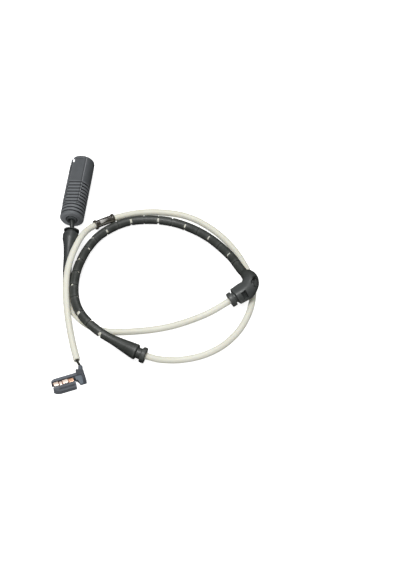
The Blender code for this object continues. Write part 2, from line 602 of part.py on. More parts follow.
def head_solid(name, outline, z0, z1):
    bm = bmesh.new()
    prism(bm, H_O, H_X, H_Y, H_Z, outline, z0, z1)
    return finish(bm, name, None, False)


def head_bar(name, outline, u0, u1):
    """A (v, z) outline pulled along the head."""
    bm = bmesh.new()
    prism(bm, H_O, H_Y, H_Z, H_X, outline, u0, u1)
    return finish(bm, name, None, False)


# block with its sloped front facet and a chamfer down its end
head = head_solid("sensor_head", [(16.9, -1.7), (17.9, -4.4), (18.2, -4.6), (22.0, -4.6), (22.0, 2.2), (17.6, 4.0), (17.2, 3.2)], 0.0, HEAD_H)
head.data.materials.append(M_HEAD)
combine(head, head_bar("tool_facet", [(-0.5, 5.7), (-0.5, 7.4), (-6.0, 7.4), (-6.0, 0.75)], 15.0, 19.9), "DIFFERENCE")
bm = bmesh.new()
ends = []
for v, tri in ((2.6, ((21.75, 6.9), (22.4, 6.9), (22.4, 6.2))), (-5.0, ((20.4, 6.9), (22.6, 6.9), (22.6, 3.6)))):
    ends.append([bm.verts.new(H_O + (H_X * x + H_Y * v + H_Z * z) * MM) for x, z in tri])
bm.faces.new(ends[0])
bm.faces.new(list(reversed(ends[1])))
bridge(bm, ends[0], ends[1])
combine(head, finish(bm, "tool_chamfer", None, False), "DIFFERENCE")
# rail, rounded nose
rail = [(18.0, -0.2), (18.0, 1.75), (3.4, 1.7), (1.9, 1.45), (0.9, 0.95), (0.45, 0.35), (0.6, -0.05), (1.4, -0.2)]
combine(head, head_solid("tool_rail", rail, 0.35, 6.3), "UNION")
# floor of the slot
combine(head, head_solid("tool_web", [(1.6, -5.9), (14.7, -5.9), (14.7, 0.3), (1.6, 0.3)], 0.35, 1.9), "UNION")
# jaw, chamfered nose
jaw = [(0.5, -4.6), (1.3, -3.75), (14.8, -3.75), (15.1, -4.0), (15.1, -6.4), (14.8, -6.6), (4.8, -6.6), (2.6, -6.2), (1.1, -5.4)]
jaw = head_solid("tool_jaw", jaw, 0.0, 6.0)
combine(jaw, head_bar("tool_break", [(-4.57, 6.5), (-7.2, 6.5), (-7.2, 2.48)], -1.0, 16.0), "DIFFERENCE")
combine(head, jaw, "UNION")
# foot below the block's facet
combine(head, head_bar("tool_foot", [(-0.2, 0.35), (-0.2, 5.6), (-0.55, 5.6), (-2.2, 4.1), (-1.6, 0.35)], 15.9, 17.6), "UNION")
# bridge from the slot floor to the block
combine(head, head_solid("tool_bridge", [(14.0, -0.8), (17.5, -0.8), (17.5, 0.5), (14.0, 0.5)], 0.45, 5.0), "UNION")
# neck
N_A = H_O + (H_X * 19.9 + H_Y * 2.0 + H_Z * 3.7) * MM
n_dir = (at(*RUN.pos(AT["head_neck"])) - N_A).normalized()
n_side, n_up = frame_at(n_dir)
neck_len = (at(*RUN.pos(AT["head_neck"])) - N_A).length / MM
bm = bmesh.new()
a = ring(bm, N_A, n_side, n_up, 1.75 * MM, 16)
b = ring(bm, N_A + n_dir * (neck_len - 0.3) * MM, n_side, n_up, 1.52 * MM, 16)
b2_ = ring(bm, N_A + n_dir * neck_len * MM, n_side, n_up, 1.45 * MM, 16)
bridge(bm, a, b)
bridge(bm, b, b2_)
bm.faces.new(a)
bm.faces.new(list(reversed(b2_)))
combine(head, finish(bm, "tool_neck", None), "UNION")


def free_tube(name, pts, radius, sides, mat):
    """A tube through local head points (x, y, z in millimetres)."""
    bm = bmesh.new()
    W = [H_O + (H_X * x + H_Y * y + H_Z * z) * MM for x, y, z in pts]
    rows = []
    for i, p in enumerate(W):
        t = (W[min(i + 1, len(W) - 1)] - W[max(i - 1, 0)]).normalized()
        s_, u_ = frame_at(t)
        rows.append(ring(bm, p, s_, u_, radius * MM, sides))
    for a, b in zip(rows, rows[1:]):
        bridge(bm, a, b)
    bm.faces.new(rows[0])
    bm.faces.new(list(reversed(rows[-1])))
    return finish(bm, name, mat)


neck_pts = []
for s_ in between(AT["head_neck"] - 1.5, AT["wire_end"]):
    p = RUN.pos(s_)
    d = at(*p) - H_O
    neck_pts.append((d.dot(H_X) / MM, d.dot(H_Y) / MM, p.z))
last = neck_pts[-1]
combine(head, free_tube("tool_wire_bore", neck_pts + [(last[0], last[1] - 0.45, last[2])], WIRE_R + FIT + 0.03, 12, None), "DIFFERENCE")
loop = [(last[0], last[1] - 0.85, last[2]), (last[0] - 0.5, last[1] - 1.9, 3.7), (last[0] - 1.7, last[1] - 2.6, 3.5)]
loop += [(17.0, 0.77, 3.4), (12.0, 0.76, 3.4), (7.0, 0.75, 3.4), (3.4, 0.74, 3.4)]
chan = [(last[0], last[1] - 0.2, last[2])] + loop[1:-1] + [(3.0, 0.74, 3.4)]
combine(head, free_tube("tool_channel", chan, 0.58, 10, None), "DIFFERENCE")
clean(head, 30.0)
free_tube("wear_loop", loop, 0.24, 8, M_LOOP)

# wavy contact spring lying across the slot
WAVE = [(1.2, 5.7), (1.7, 6.02), (4.3, 6.02), (5.3, 5.2), (6.7, 5.2), (7.6, 6.05), (10.4, 6.05), (11.4, 5.3), (14.3, 5.3)]
bm = bmesh.new()
rows = []
for k, (x, z) in enumerate(WAVE):
    p0, p1 = WAVE[max(0, k - 1)], WAVE[min(len(WAVE) - 1, k + 1)]
    nn = Vector((p0[1] - p1[1], 0, p1[0] - p0[0])).normalized()
    quad = []
    for y, sg in ((-3.47, -1), (-0.85, -1), (-0.85, 1), (-3.47, 1)):
        quad.append(bm.verts.new(H_O + (H_X * (x + nn.x * 0.17 * sg) + H_Y * y + H_Z * (z + nn.z * 0.17 * sg)) * MM))
    rows.append(quad)
for a, b in zip(rows, rows[1:]):
    bridge(bm, a, b)
bm.faces.new(rows[0])
bm.faces.new(list(reversed(rows[-1])))
finish(bm, "contact_spring", M_SPRING)

bpy.context.view_layer.update()
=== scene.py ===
import bpy
import bmesh
import math
from mathutils import Vector, Matrix, noise


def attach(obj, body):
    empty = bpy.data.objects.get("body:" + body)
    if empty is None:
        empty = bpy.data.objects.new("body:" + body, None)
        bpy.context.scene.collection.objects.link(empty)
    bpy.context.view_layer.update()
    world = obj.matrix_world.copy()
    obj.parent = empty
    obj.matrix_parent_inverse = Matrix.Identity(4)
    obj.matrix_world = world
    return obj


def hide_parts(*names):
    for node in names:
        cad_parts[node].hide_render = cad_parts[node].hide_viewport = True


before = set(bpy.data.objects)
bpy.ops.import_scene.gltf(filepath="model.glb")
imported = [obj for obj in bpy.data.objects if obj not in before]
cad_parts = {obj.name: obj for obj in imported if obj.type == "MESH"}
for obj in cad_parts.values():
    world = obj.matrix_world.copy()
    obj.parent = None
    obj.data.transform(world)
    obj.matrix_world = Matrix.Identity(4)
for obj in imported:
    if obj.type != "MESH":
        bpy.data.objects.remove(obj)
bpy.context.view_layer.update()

# ------------------------------------------------------------------ dimensions
MM = 0.001
SHIFT_X = 28.379
SHIFT_Y = -7.54
SHEATH_R = 2.15
SHEATH_BORE_R = 1.35
SHEATH_NECK_R = 2.0
WIRE_R = 0.80
JACKET_R = 1.55
FIT = 0.32
CONDUIT_R = 3.0
CONDUIT_BORE_R = SHEATH_R + FIT + 0.05
# cross cuts of the conduit: place after the elbow, how far the cut's side is
# turned up from the bend's inside, width at the cut's floor and at the skin
SLOTS_IN = ((-1.0, -20, 0.5, 0.8), (17.0, 26, 0.9, 0.8), (37.7, 15, 1.0, 0.8), (57.8, 12, 1.05, 0.8),
            (77.5, 8, 1.1, 1.0), (96.4, 16, 1.1, 1.0), (115.3, -3, 1.15, 1.1), (135.5, -6, 1.15, 1.1),
            (157.6, -14, 1.0, 1.1), (178.2, -16, 0.8, 1.1), (200.3, -10, 1.1, 1.7))
SLOTS_OUT = ((8.4, 60, 0.9, 1.3), (27.5, 55, 0.9, 1.3), (47.6, 50, 0.9, 1.3), (68.0, 16, 1.0, 2.0),
             (87.2, 24, 1.2, 2.4), (106.1, 24, 1.2, 2.6), (126.5, -6, 1.1, 2.4), (146.7, -6, 1.5, 2.4),
             (168.7, 0, 1.5, 2.2), (190.7, 0, 1.9, 2.9), (211.0, 8, 1.7, 2.6))
CUT_FLOOR = 0.45
PLUG_R = 8.1
PLUG_LEN = 49.7
PLUG_YAW = 83.5
PLUG_BACK = (-86.9, 47.8, 8.1)
MOUTH_R = 6.5
MOUTH_DEPTH = 24.5
GROOVES = 10
GROOVE_PITCH = 2.7
GROOVE_FIRST = 1.8
GROOVE_W = 1.15
PANEL_TILT = -8.0
PANEL_HALF = 4.9
PANEL_DIST = 7.6
LATCH_R = 7.1
LATCH_DEPTH = 6.4
HEAD_O = (-94.0, -77.5)
HEAD_YAW = 19.0
HEAD_H = 6.6

# the cable's route, in millimetres, as the CAD has it
ROUTE = [
    ("lead", (-86.4, 51.5, 8.1)), (None, (-86.7, 48.0, 8.1)), (None, (-86.6, 45.2, 7.6)),
    (None, (-86.4, 42.2, 6.5)), ("boot_top", (-86.6, 40.7, 5.9)), (None, (-87.1, 36.0, 5.5)),
    (None, (-87.6, 30.0, 4.9)), ("boot_mid", (-88.0, 25.4, 4.3)), (None, (-88.2, 20.1, 3.6)),
    (None, (-88.2, 8.3, 3.0)), ("boot_end", (-87.5, -5.1, 2.9)),
    (None, (-86.3, -13.4, 2.3)), (None, (-83.9, -20.4, 2.2)), (None, (-79.8, -26.2, 2.2)),
    (None, (-75.6, -30.3, 2.2)), (None, (-70.2, -34.0, 2.2)), (None, (-64.5, -36.4, 2.2)),
    (None, (-58.0, -37.6, 2.2)), (None, (-49.0, -37.6, 2.2)), (None, (-38.7, -36.9, 2.2)),
    (None, (-28.0, -35.4, 2.2)), (None, (-17.4, -32.9, 2.3)), (None, (-6.7, -29.2, 2.7)),
    (None, (3.7, -25.1, 4.0)), (None, (8.9, -22.8, 5.3)),
    (None, (13.9, -20.4, 7.0)), ("elbow_start", (19.0, -17.7, 8.6)), (None, (23.3, -14.9, 9.8)),
    (None, (27.3, -11.3, 10.6)), (None, (30.2, -7.0, 10.9)), (None, (30.9, -2.4, 10.9)),
    (None, (29.5, 1.0, 10.7)), ("elbow_end", (27.8, 3.7, 10.3)),
    (None, (24.6, 9.3, 9.4)), (None, (21.6, 15.2, 8.5)), (None, (17.6, 21.0, 7.6)),
    (None, (13.6, 26.2, 6.7)), (None, (9.4, 31.1, 5.9)), (None, (5.0, 35.5, 5.2)),
    (None, (0.1, 39.5, 4.6)), (None, (-5.0, 43.0, 4.0)), (None, (-10.6, 46.1, 3.6)),
    (None, (-16.2, 48.5, 3.3)), (None, (-21.8, 50.2, 3.1)), (None, (-27.6, 51.3, 3.0)),
    (None, (-33.2, 51.7, 3.0)), (None, (-38.7, 51.6, 3.0)), (None, (-44.6, 51.0, 3.0)),
    (None, (-50.4, 49.6, 3.0)), (None, (-55.7, 47.3, 3.0)), (None, (-60.8, 44.2, 3.1)),
    (None, (-65.7, 40.3, 3.3)), (None, (-70.0, 35.7, 3.6)), (None, (-73.6, 30.1, 4.0)),
    (None, (-76.8, 23.5, 4.6)), (None, (-79.3, 16.4, 5.4)), (None, (-81.1, 9.6, 6.2)),
    (None, (-82.2, 2.4, 7.0)), (None, (-82.6, -5.1, 7.6)), (None, (-82.2, -12.1, 8.0)),
    (None, (-80.9, -18.9, 8.2)), (None, (-78.6, -24.9, 8.2)), (None, (-75.4, -30.1, 8.2)),
    (None, (-71.6, -34.7, 8.2)), (None, (-67.3, -38.8, 8.0)), (None, (-62.8, -42.4, 7.7)),
    ("cone_start", (-58.1, -45.4, 7.3)), (None, (-52.2, -48.7, 6.8)), (None, (-46.4, -51.9, 6.3)),
    (None, (-40.7, -55.0, 5.8)), ("conduit_end", (-34.6, -57.6, 5.3)),
    (None, (-31.6, -58.3, 4.7)), (None, (-26.5, -59.0, 3.5)), (None, (-20.7, -59.0, 2.6)),
    (None, (-15.3, -58.8, 2.2)), (None, (-9.7, -58.2, 2.2)), (None, (-4.3, -57.1, 2.2)),
    (None, (1.1, -55.4, 2.2)), (None, (6.5, -53.0, 2.2)), (None, (11.7, -49.9, 2.2)),
    (None, (16.2, -46.4, 2.2)), (None, (20.3, -42.2, 2.2)), (None, (24.0, -37.7, 2.2)),
    (None, (27.2, -32.5, 2.2)), (None, (30.0, -26.6, 2.2)), (None, (32.3, -20.3, 2.2)),
    (None, (33.8, -13.4, 2.2)), (None, (34.4, -6.3, 2.2)), (None, (33.8, 0.8, 2.2)),
    (None, (32.0, 7.6, 2.2)), (None, (29.4, 14.2, 2.2)), (None, (26.7, 19.9, 2.2)),
    (None, (23.8, 25.2, 2.2)), (None, (20.3, 30.5, 2.2)), (None, (16.2, 35.8, 2.2)),
    (None, (11.6, 40.8, 2.2)), (None, (6.7, 45.2, 2.2)), (None, (1.6, 49.1, 2.2)),
    (None, (-3.7, 52.4, 2.2)), (None, (-9.4, 55.0, 2.2)), (None, (-15.3, 56.8, 2.2)),
    (None, (-21.3, 57.9, 2.2)), (None, (-27.3, 58.5, 2.2)), (None, (-33.3, 58.7, 2.2)),
    (None, (-39.2, 58.4, 2.2)), (None, (-45.2, 57.4, 2.3)), (None, (-50.9, 55.8, 2.6)),
    (None, (-55.6, 54.1, 2.9)), ("clip_start", (-58.6, 52.8, 3.3)), (None, (-64.7, 50.1, 3.4)),
    ("clip_end", (-71.4, 46.3, 3.8)), (None, (-74.2, 43.7, 4.6)),
    (None, (-77.2, 39.6, 6.0)), (None, (-80.0, 33.3, 8.0)), (None, (-82.4, 26.2, 9.3)),
    (None, (-84.5, 19.4, 9.7)), (None, (-86.2, 12.8, 9.4)), (None, (-87.3, 6.2, 9.0)),
    (None, (-87.8, -1.0, 8.9)), (None, (-87.7, -7.6, 8.8)), (None, (-87.3, -14.2, 8.5)),
    (None, (-86.7, -20.4, 7.8)), (None, (-85.9, -26.5, 6.8)), (None, (-84.9, -32.6, 5.5)),
    (None, (-83.8, -38.2, 4.2)), (None, (-82.6, -43.6, 3.1)), (None, (-81.1, -49.7, 2.4)),
    (None, (-79.5, -55.4, 2.3)), ("sheath_end", (-78.2, -60.1, 2.6)),
    ("head_neck", (-76.1, -64.0, 3.4)), (None, (-75.5, -66.9, 3.7)),
    ("wire_end", (-75.2, -69.9, 3.8)),
]


def at(x, y, z):
    return Vector(((x + SHIFT_X) * MM, (y + SHIFT_Y) * MM, z * MM))


# ---------------------------------------------------------------------- camera
EL = math.radians(56.0)
DIST = 950.0
OFF_X, OFF_Y = -0.35, 0.30
target = at(OFF_X, OFF_Y, 0)
eye = at(OFF_X, OFF_Y - DIST * math.cos(EL), DIST * math.sin(EL))
cam_data = bpy.data.cameras.new("camera")
cam_data.sensor_fit = "VERTICAL"
cam_data.sensor_height = 36.0
cam_data.lens = 36.0 * (DIST / 0.66) / 570.0
cam_data.clip_start = 0.05
cam_data.clip_end = 20.0
cam = bpy.data.objects.new("camera", cam_data)
bpy.context.scene.collection.objects.link(cam)
cam.location = eye
cam.rotation_euler = (target - eye).to_track_quat("-Z", "Y").to_euler()
bpy.context.scene.camera = cam


# --------------------------------------------------------------------- helpers
def smooth_line(points, per=14):
    P = [Vector(p) for p in points]
    P = [P[0] * 2 - P[1]] + P + [P[-1] * 2 - P[-2]]
    out, marks = [], []
    for i in range(1, len(P) - 2):
        p0, p1, p2, p3 = P[i - 1], P[i], P[i + 1], P[i + 2]
        t0 = 0.0
        t1 = t0 + max((p1 - p0).length, 1e-9) ** 0.5
        t2 = t1 + max((p2 - p1).length, 1e-9) ** 0.5
        t3 = t2 + max((p3 - p2).length, 1e-9) ** 0.5
        marks.append(len(out))
        for k in range(per):
            t = t1 + (t2 - t1) * k / per
            a1 = p0 * ((t1 - t) / (t1 - t0)) + p1 * ((t - t0) / (t1 - t0))
            a2 = p1 * ((t2 - t) / (t2 - t1)) + p2 * ((t - t1) / (t2 - t1))
            a3 = p2 * ((t3 - t) / (t3 - t2)) + p3 * ((t - t2) / (t3 - t2))
            b1 = a1 * ((t2 - t) / (t2 - t0)) + a2 * ((t - t0) / (t2 - t0))
            b2 = a2 * ((t3 - t) / (t3 - t1)) + a3 * ((t - t1) / (t3 - t1))
            out.append(b1 * ((t2 - t) / (t2 - t1)) + b2 * ((t - t1) / (t2 - t1)))
    marks.append(len(out))
    out.append(P[-2].copy())
    return out, marks


class Run:
    def __init__(self, points):
        self.pts, self.marks = smooth_line(points)
        self.len = [0.0]
        for a, b in zip(self.pts, self.pts[1:]):
            self.len.append(self.len[-1] + (b - a).length)

    def mark(self, i):
        return self.len[self.marks[i]]

    def pos(self, s):
        s = max(0.0, min(self.len[-1], s))
        lo, hi = 0, len(self.len) - 1
        while hi - lo > 1:
            m = (lo + hi) // 2
            if self.len[m] <= s:
                lo = m
            else:
                hi = m
        d = self.len[hi] - self.len[lo]
        f = 0.0 if d < 1e-9 else (s - self.len[lo]) / d
        return self.pts[lo].lerp(self.pts[hi], f)

    def tan(self, s, h=1.2):
        a = self.pos(max(0.0, s - h))
        b = self.pos(min(self.len[-1], s + h))
        return (b - a).normalized()


RUN = Run([p for _, p in ROUTE])
AT = {name: RUN.mark(i) for i, (name, _) in enumerate(ROUTE) if name}
B0, B1, B2 = AT["boot_top"], AT["boot_mid"], AT["boot_end"]
E0, E1 = AT["elbow_start"] - 0.2, AT["elbow_end"]
C0, C1 = AT["cone_start"], AT["conduit_end"] - 0.2
K0, K1 = AT["clip_start"], AT["clip_end"]


def frame_at(tangent):
    side = Vector((0, 0, 1)).cross(tangent)
    if side.length < 1e-5:
        side = Vector((1, 0, 0))
    side.normalize()
    return side, tangent.cross(side).normalized()


def spread(a, b, step):
    n = max(1, int(math.ceil((b - a) / step - 1e-6)))
    return [a + (b - a) * k / n for k in range(n + 1)]


def stops(*marks, step=2.0):
    """Stations through the marks, no further apart than step."""
    out = []
    marks = sorted(marks)
    for a, b in zip(marks, marks[1:]):
        out += spread(a, b, step)[:-1]
    return out + [marks[-1]]


def ease(x):
    x = max(0.0, min(1.0, x))
    return x * x * (3 - 2 * x)


def table(rows, s):
    """Linear reading of a table of (s, value, ...)."""
    if s <= rows[0][0]:
        return rows[0][1:]
    for a, b in zip(rows, rows[1:]):
        if s <= b[0]:
            f = (s - a[0]) / max(1e-9, b[0] - a[0])
            return tuple(x + (y - x) * f for x, y in zip(a[1:], b[1:]))
    return rows[-1][1:]


def link(name, me):
    ob = bpy.data.objects.new(name, me)
    bpy.context.scene.collection.objects.link(ob)
    return ob


def finish(bm, name, mat=None):
    bmesh.ops.remove_doubles(bm, verts=bm.verts, dist=1e-7)
    bmesh.ops.recalc_face_normals(bm, faces=bm.faces)
    me = bpy.data.meshes.new(name)
    bm.to_mesh(me)
    bm.free()
    ob = link(name, me)
    if mat is not None:
        me.materials.append(mat)
    return ob


def soften(ob, angle=35.0):
    me = ob.data
    me.polygons.foreach_set("use_smooth", [True] * len(me.polygons))
    me.set_sharp_from_angle(angle=math.radians(angle))
    me.update()
    return ob


def bridge(bm, ra, rb):
    n = len(ra)
    for k in range(n):
        bm.faces.new((ra[k], ra[(k + 1) % n], rb[(k + 1) % n], rb[k]))


def fan(bm, loop, centre, flip=False):
    c = bm.verts.new(centre)
    n = len(loop)
    for k in range(n):
        a, b = loop[k], loop[(k + 1) % n]
        bm.faces.new((b, a, c) if flip else (a, b, c))


def ring(bm, c, side, up, r, n, spin=0.0):
    return [bm.verts.new(c + (side * math.cos(spin + 2 * math.pi * k / n)
                              + up * math.sin(spin + 2 * math.pi * k / n)) * r)
            for k in range(n)]


def run_ring(bm, s, n, radius, off=0.0, extra=None):
    t = RUN.tan(s)
    side, up = frame_at(t)
    c = RUN.pos(s) + side * off
    out = []
    for k in range(n):
        a = 2 * math.pi * k / n
        r = radius + (extra(s, a) if extra else 0.0)
        out.append(bm.verts.new(at(*(c + side * (math.cos(a) * r) + up * (math.sin(a) * r)))))
    return out


def run_tube(name, outer, n, mat, inner=None, extra=None):
    """outer and inner: lists of (s, radius, sideways offset)."""
    bm = bmesh.new()
    o = [run_ring(bm, s, n, r, off, extra) for s, r, off in outer]
    for a, b in zip(o, o[1:]):
        bridge(bm, a, b)
    if inner is None:
        fan(bm, o[0], at(*RUN.pos(outer[0][0])), True)
        fan(bm, o[-1], at(*RUN.pos(outer[-1][0])))
    else:
        i = [run_ring(bm, s, n, r, off) for s, r, off in inner]
        for a, b in zip(i, i[1:]):
            bridge(bm, b, a)
        bridge(bm, i[0], o[0])
        bridge(bm, o[-1], i[-1])
    return finish(bm, name, mat)


def lathe(name, origin, axis, right, up, profile, sides, mat, solid=False):
    bm = bmesh.new()
    rows = [ring(bm, origin + axis * (s * MM), right, up, r * MM, sides) for s, r in profile]
    for a, b in zip(rows, rows[1:]):
        bridge(bm, a, b)
    if solid:
        fan(bm, rows[0], origin + axis * (profile[0][0] * MM), True)
        fan(bm, rows[-1], origin + axis * (profile[-1][0] * MM))
    else:
        bridge(bm, rows[-1], rows[0])
    return finish(bm, name, mat)


def box(bm, origin, ex, ey, ez, lo, hi):
    v = []
    for k in (lo[2], hi[2]):
        for j in (lo[1], hi[1]):
            for i in (lo[0], hi[0]):
                v.append(bm.verts.new(origin + (ex * i + ey * j + ez * k) * MM))
    for f in ((0, 2, 3, 1), (4, 5, 7, 6), (0, 1, 5, 4), (2, 6, 7, 3), (0, 4, 6, 2), (1, 3, 7, 5)):
        bm.faces.new([v[n] for n in f])


def prism(bm, origin, ex, ey, ez, outline, z0, z1):
    lo = [bm.verts.new(origin + (ex * x + ey * y + ez * z0) * MM) for x, y in outline]
    hi = [bm.verts.new(origin + (ex * x + ey * y + ez * z1) * MM) for x, y in outline]
    bm.faces.new(list(reversed(lo)))
    bm.faces.new(hi)
    bridge(bm, lo, hi)


def combine(target, tool, how):
    mod = target.modifiers.new(how.lower(), "BOOLEAN")
    mod.operation = how
    mod.solver = "EXACT"
    mod.object = tool
    bpy.context.view_layer.update()
    me = bpy.data.meshes.new_from_object(target.evaluated_get(bpy.context.evaluated_depsgraph_get()))
    target.modifiers.clear()
    target.data = me
    bpy.data.objects.remove(tool, do_unlink=True)
    return target


def rounded(ob, width, segments=2, angle=40.0):
    """Rounds the hard edges of a piece by width, in millimetres."""
    mod = ob.modifiers.new("bevel", "BEVEL")
    mod.width = width * MM
    mod.segments = segments
    mod.limit_method = "ANGLE"
    mod.angle_limit = math.radians(angle)
    mod.use_clamp_overlap = True
    mod.miter_outer = "MITER_ARC"
    bpy.context.view_layer.update()
    me = bpy.data.meshes.new_from_object(ob.evaluated_get(bpy.context.evaluated_depsgraph_get()))
    ob.modifiers.clear()
    ob.data = me
    return ob


def give(ob, *nodes, slot=None):
    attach(ob, "root")
    if nodes:
        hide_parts(*nodes)
    return ob


# ------------------------------------------------------------------- materials
def srgb(*c):
    out = []
    for v in c:
        v = v / 255.0
        out.append(v / 12.92 if v <= 0.04045 else ((v + 0.055) / 1.055) ** 2.4)
    return (*out, 1.0)


class Shade:
    """A procedural material: mottled colour, uneven gloss and fine relief."""

    def __init__(self, name):
        self.m = bpy.data.materials.new(name)
        self.m.use_nodes = True
        self.t = self.m.node_tree
        self.b = self.t.nodes["Principled BSDF"]
        self.co = self.new("ShaderNodeTexCoord").outputs["Object"]

    def new(self, kind, **values):
        n = self.t.nodes.new(kind)
        for k, v in values.items():
            setattr(n, k, v)
        return n

    def wire(self, a, b):
        self.t.links.new(a, b)

    def noise(self, scale, detail=4.0, rough=0.5, stretch=None, distortion=0.0):
        n = self.new("ShaderNodeTexNoise")
        n.inputs["Scale"].default_value = scale
        n.inputs["Detail"].default_value = detail
        n.inputs["Roughness"].default_value = rough
        n.inputs["Distortion"].default_value = distortion
        if stretch:
            mp = self.new("ShaderNodeMapping")
            mp.inputs["Scale"].default_value = stretch[0]
            mp.inputs["Rotation"].default_value = stretch[1]
            self.wire(self.co, mp.inputs["Vector"])
            self.wire(mp.outputs["Vector"], n.inputs["Vector"])
        else:
            self.wire(self.co, n.inputs["Vector"])
        return n.outputs["Fac"]

    def ramp(self, fac, stops_):
        r = self.new("ShaderNodeValToRGB")
        e = r.color_ramp.elements
        while len(e) < len(stops_):
            e.new(0.5)
        for el, (p, c) in zip(e, stops_):
            el.position = p
            el.color = c
        self.wire(fac, r.inputs["Fac"])
        return r.outputs["Color"]

    def span(self, fac, lo, hi, a=0.3, b=0.7):
        r = self.new("ShaderNodeMapRange")
        r.inputs["From Min"].default_value = a
        r.inputs["From Max"].default_value = b
        r.inputs["To Min"].default_value = lo
        r.inputs["To Max"].default_value = hi
        self.wire(fac, r.inputs["Value"])
        return r.outputs["Result"]

    def mix(self, a, b, fac, blend="MIX"):
        m = self.new("ShaderNodeMix", data_type="RGBA", blend_type=blend)
        if isinstance(fac, float):
            m.inputs["Factor"].default_value = fac
        else:
            self.wire(fac, m.inputs["Factor"])
        for src, key in ((a, 6), (b, 7)):
            if isinstance(src, tuple):
                m.inputs[key].default_value = src
            else:
                self.wire(src, m.inputs[key])
        return m.outputs[2]

    def bump(self, height, strength, distance, under=None):
        n = self.new("ShaderNodeBump")
        n.inputs["Strength"].default_value = strength
        n.inputs["Distance"].default_value = distance
        self.wire(height, n.inputs["Height"])
        if under is not None:
            self.wire(under, n.inputs["Normal"])
        return n.outputs["Normal"]

    def along(self, origin, axis):
        """Millimetres from origin along an axis of the object."""
        v = self.new("ShaderNodeVectorMath", operation="DOT_PRODUCT")
        self.wire(self.co, v.inputs[0])
        v.inputs[1].default_value = tuple(axis)
        return self.calc("MULTIPLY_ADD", v.outputs["Value"], 1000.0, -1000.0 * origin.dot(axis))

    def calc(self, op, a, b=0.0, c=0.0):
        n = self.new("ShaderNodeMath", operation=op)
        for i, v in enumerate((a, b, c)):
            if isinstance(v, float):
                n.inputs[i].default_value = v
            else:
                self.wire(v, n.inputs[i])
        return n.outputs["Value"]

    def band(self, v, lo, hi, soft):
        """1 between lo and hi, 0 outside."""
        return self.calc("MULTIPLY", self.span(v, 0.0, 1.0, lo - soft, lo + soft), self.span(v, 1.0, 0.0, hi - soft, hi + soft))

    def edges(self, lo=0.50, hi=0.56):
        g = self.new("ShaderNodeNewGeometry")
        return self.span(g.outputs["Pointiness"], 0.0, 1.0, lo, hi)

    def done(self, colour=None, rough=None, normal=None, metal=None, spec=None, sheen=None,
             coat=None, sss=None):
        b = self.b
        if colour is not None:
            self.wire(colour, b.inputs["Base Color"])
        if rough is not None:
            self.wire(rough, b.inputs["Roughness"])
        if normal is not None:
            self.wire(normal, b.inputs["Normal"])
        if metal is not None:
            b.inputs["Metallic"].default_value = metal
        if spec is not None:
            b.inputs["Specular IOR Level"].default_value = spec
        if sheen is not None:
            b.inputs["Sheen Weight"].default_value = sheen
        if coat is not None:
            b.inputs["Coat Weight"].default_value = coat
            b.inputs["Coat Roughness"].default_value = 0.12
        if sss is not None:
            b.inputs["Subsurface Weight"].default_value = sss
            b.inputs["Subsurface Radius"].default_value = (1.0, 0.85, 0.6)
            b.inputs["Subsurface Scale"].default_value = 0.0009
        return self.m


def rubber(name, dark, mid, light, r0=0.42, r1=0.62, spec=0.35, wear=None, under=None):
    s = Shade(name)
    big = s.noise(120.0, 3.0)
    mott = s.noise(900.0, 5.0, 0.6)
    col = s.ramp(big, [(0.25, srgb(*dark)), (0.5, srgb(*mid)), (0.78, srgb(*light))])
    col = s.mix(col, srgb(*[min(255, v + 14) for v in light]), s.span(mott, 0.0, 0.35, 0.52, 0.75))
    # lighter sharp edges: partly wear, partly a painted highlight along the edges
    if wear:
        col = s.mix(col, srgb(*wear), s.span(s.edges(0.505, 0.56), 0.0, 0.5, 0.0, 1.0))
    # painted shade: faces that point down or sideways are darkened towards the under colour
    if under:
        g = s.new("ShaderNodeNewGeometry")
        x = s.new("ShaderNodeSeparateXYZ")
        s.wire(g.outputs["Normal"], x.inputs["Vector"])
        col = s.mix(col, srgb(*under), s.span(x.outputs["Z"], 0.9, 0.0, -0.2, 0.5))
    dust = s.noise(4200.0, 2.0, 0.6)
    col = s.mix(col, srgb(150, 152, 146), s.span(dust, 0.0, 0.22, 0.66, 0.78))
    rough = s.span(mott, r0, r1)
    n1 = s.bump(s.noise(2600.0, 4.0, 0.6), 0.22, 0.00012)
    n2 = s.bump(s.noise(350.0, 2.0), 0.16, 0.0005, n1)
    return s.done(col, rough, n2, spec=spec)


def plastic(name, dark, mid, light, r0=0.34, r1=0.5, spec=0.4, wear=None, grain=0.14, coat=None, tones=None):
    s = Shade(name)
    big = s.noise(90.0, 3.0)
    mott = s.noise(1400.0, 4.0, 0.55)
    col = s.ramp(big, [(0.25, srgb(*dark)), (0.5, srgb(*mid)), (0.78, srgb(*light))])
    col = s.mix(col, srgb(*dark), s.span(mott, 0.0, 0.3, 0.5, 0.75))
    # lighter sharp edges: partly wear, partly a painted highlight along the edges
    if wear:
        col = s.mix(col, srgb(*wear), s.span(s.edges(0.505, 0.56), 0.0, 0.6, 0.0, 1.0))
    if tones:
        col = tones(s, col)
    rough = s.span(mott, r0, r1)
    n1 = s.bump(s.noise(3800.0, 3.0, 0.6), grain, 0.0001)
    n2 = s.bump(s.noise(240.0, 2.0), 0.10, 0.0005, n1)
    return s.done(col, rough, n2, spec=spec, coat=coat)


def metal(name, dark, light, r0=0.18, r1=0.34, lines=None, amount=1.0, slope=None, tones=None):
    s = Shade(name)
    big = s.noise(400.0, 4.0, 0.6)
    fine = s.noise(2600.0, 3.0, 0.6, stretch=lines)
    col = s.ramp(big, [(0.3, srgb(*dark)), (0.7, srgb(*light))])
    rough = s.span(fine, r0, r1)
    nrm = s.bump(fine, 0.10, 0.00008)
    # painted shade by facing: faces that turn away from straight up take the slope colour
    if slope:
        g = s.new("ShaderNodeNewGeometry")
        x = s.new("ShaderNodeSeparateXYZ")
        s.wire(g.outputs["Normal"], x.inputs["Vector"])
        col = s.mix(srgb(*slope), col, s.span(x.outputs["Z"], 0.0, 1.0, 0.62, 0.93))
    if tones:
        col = tones(s, col)
    return s.done(col, rough, nrm, metal=amount)


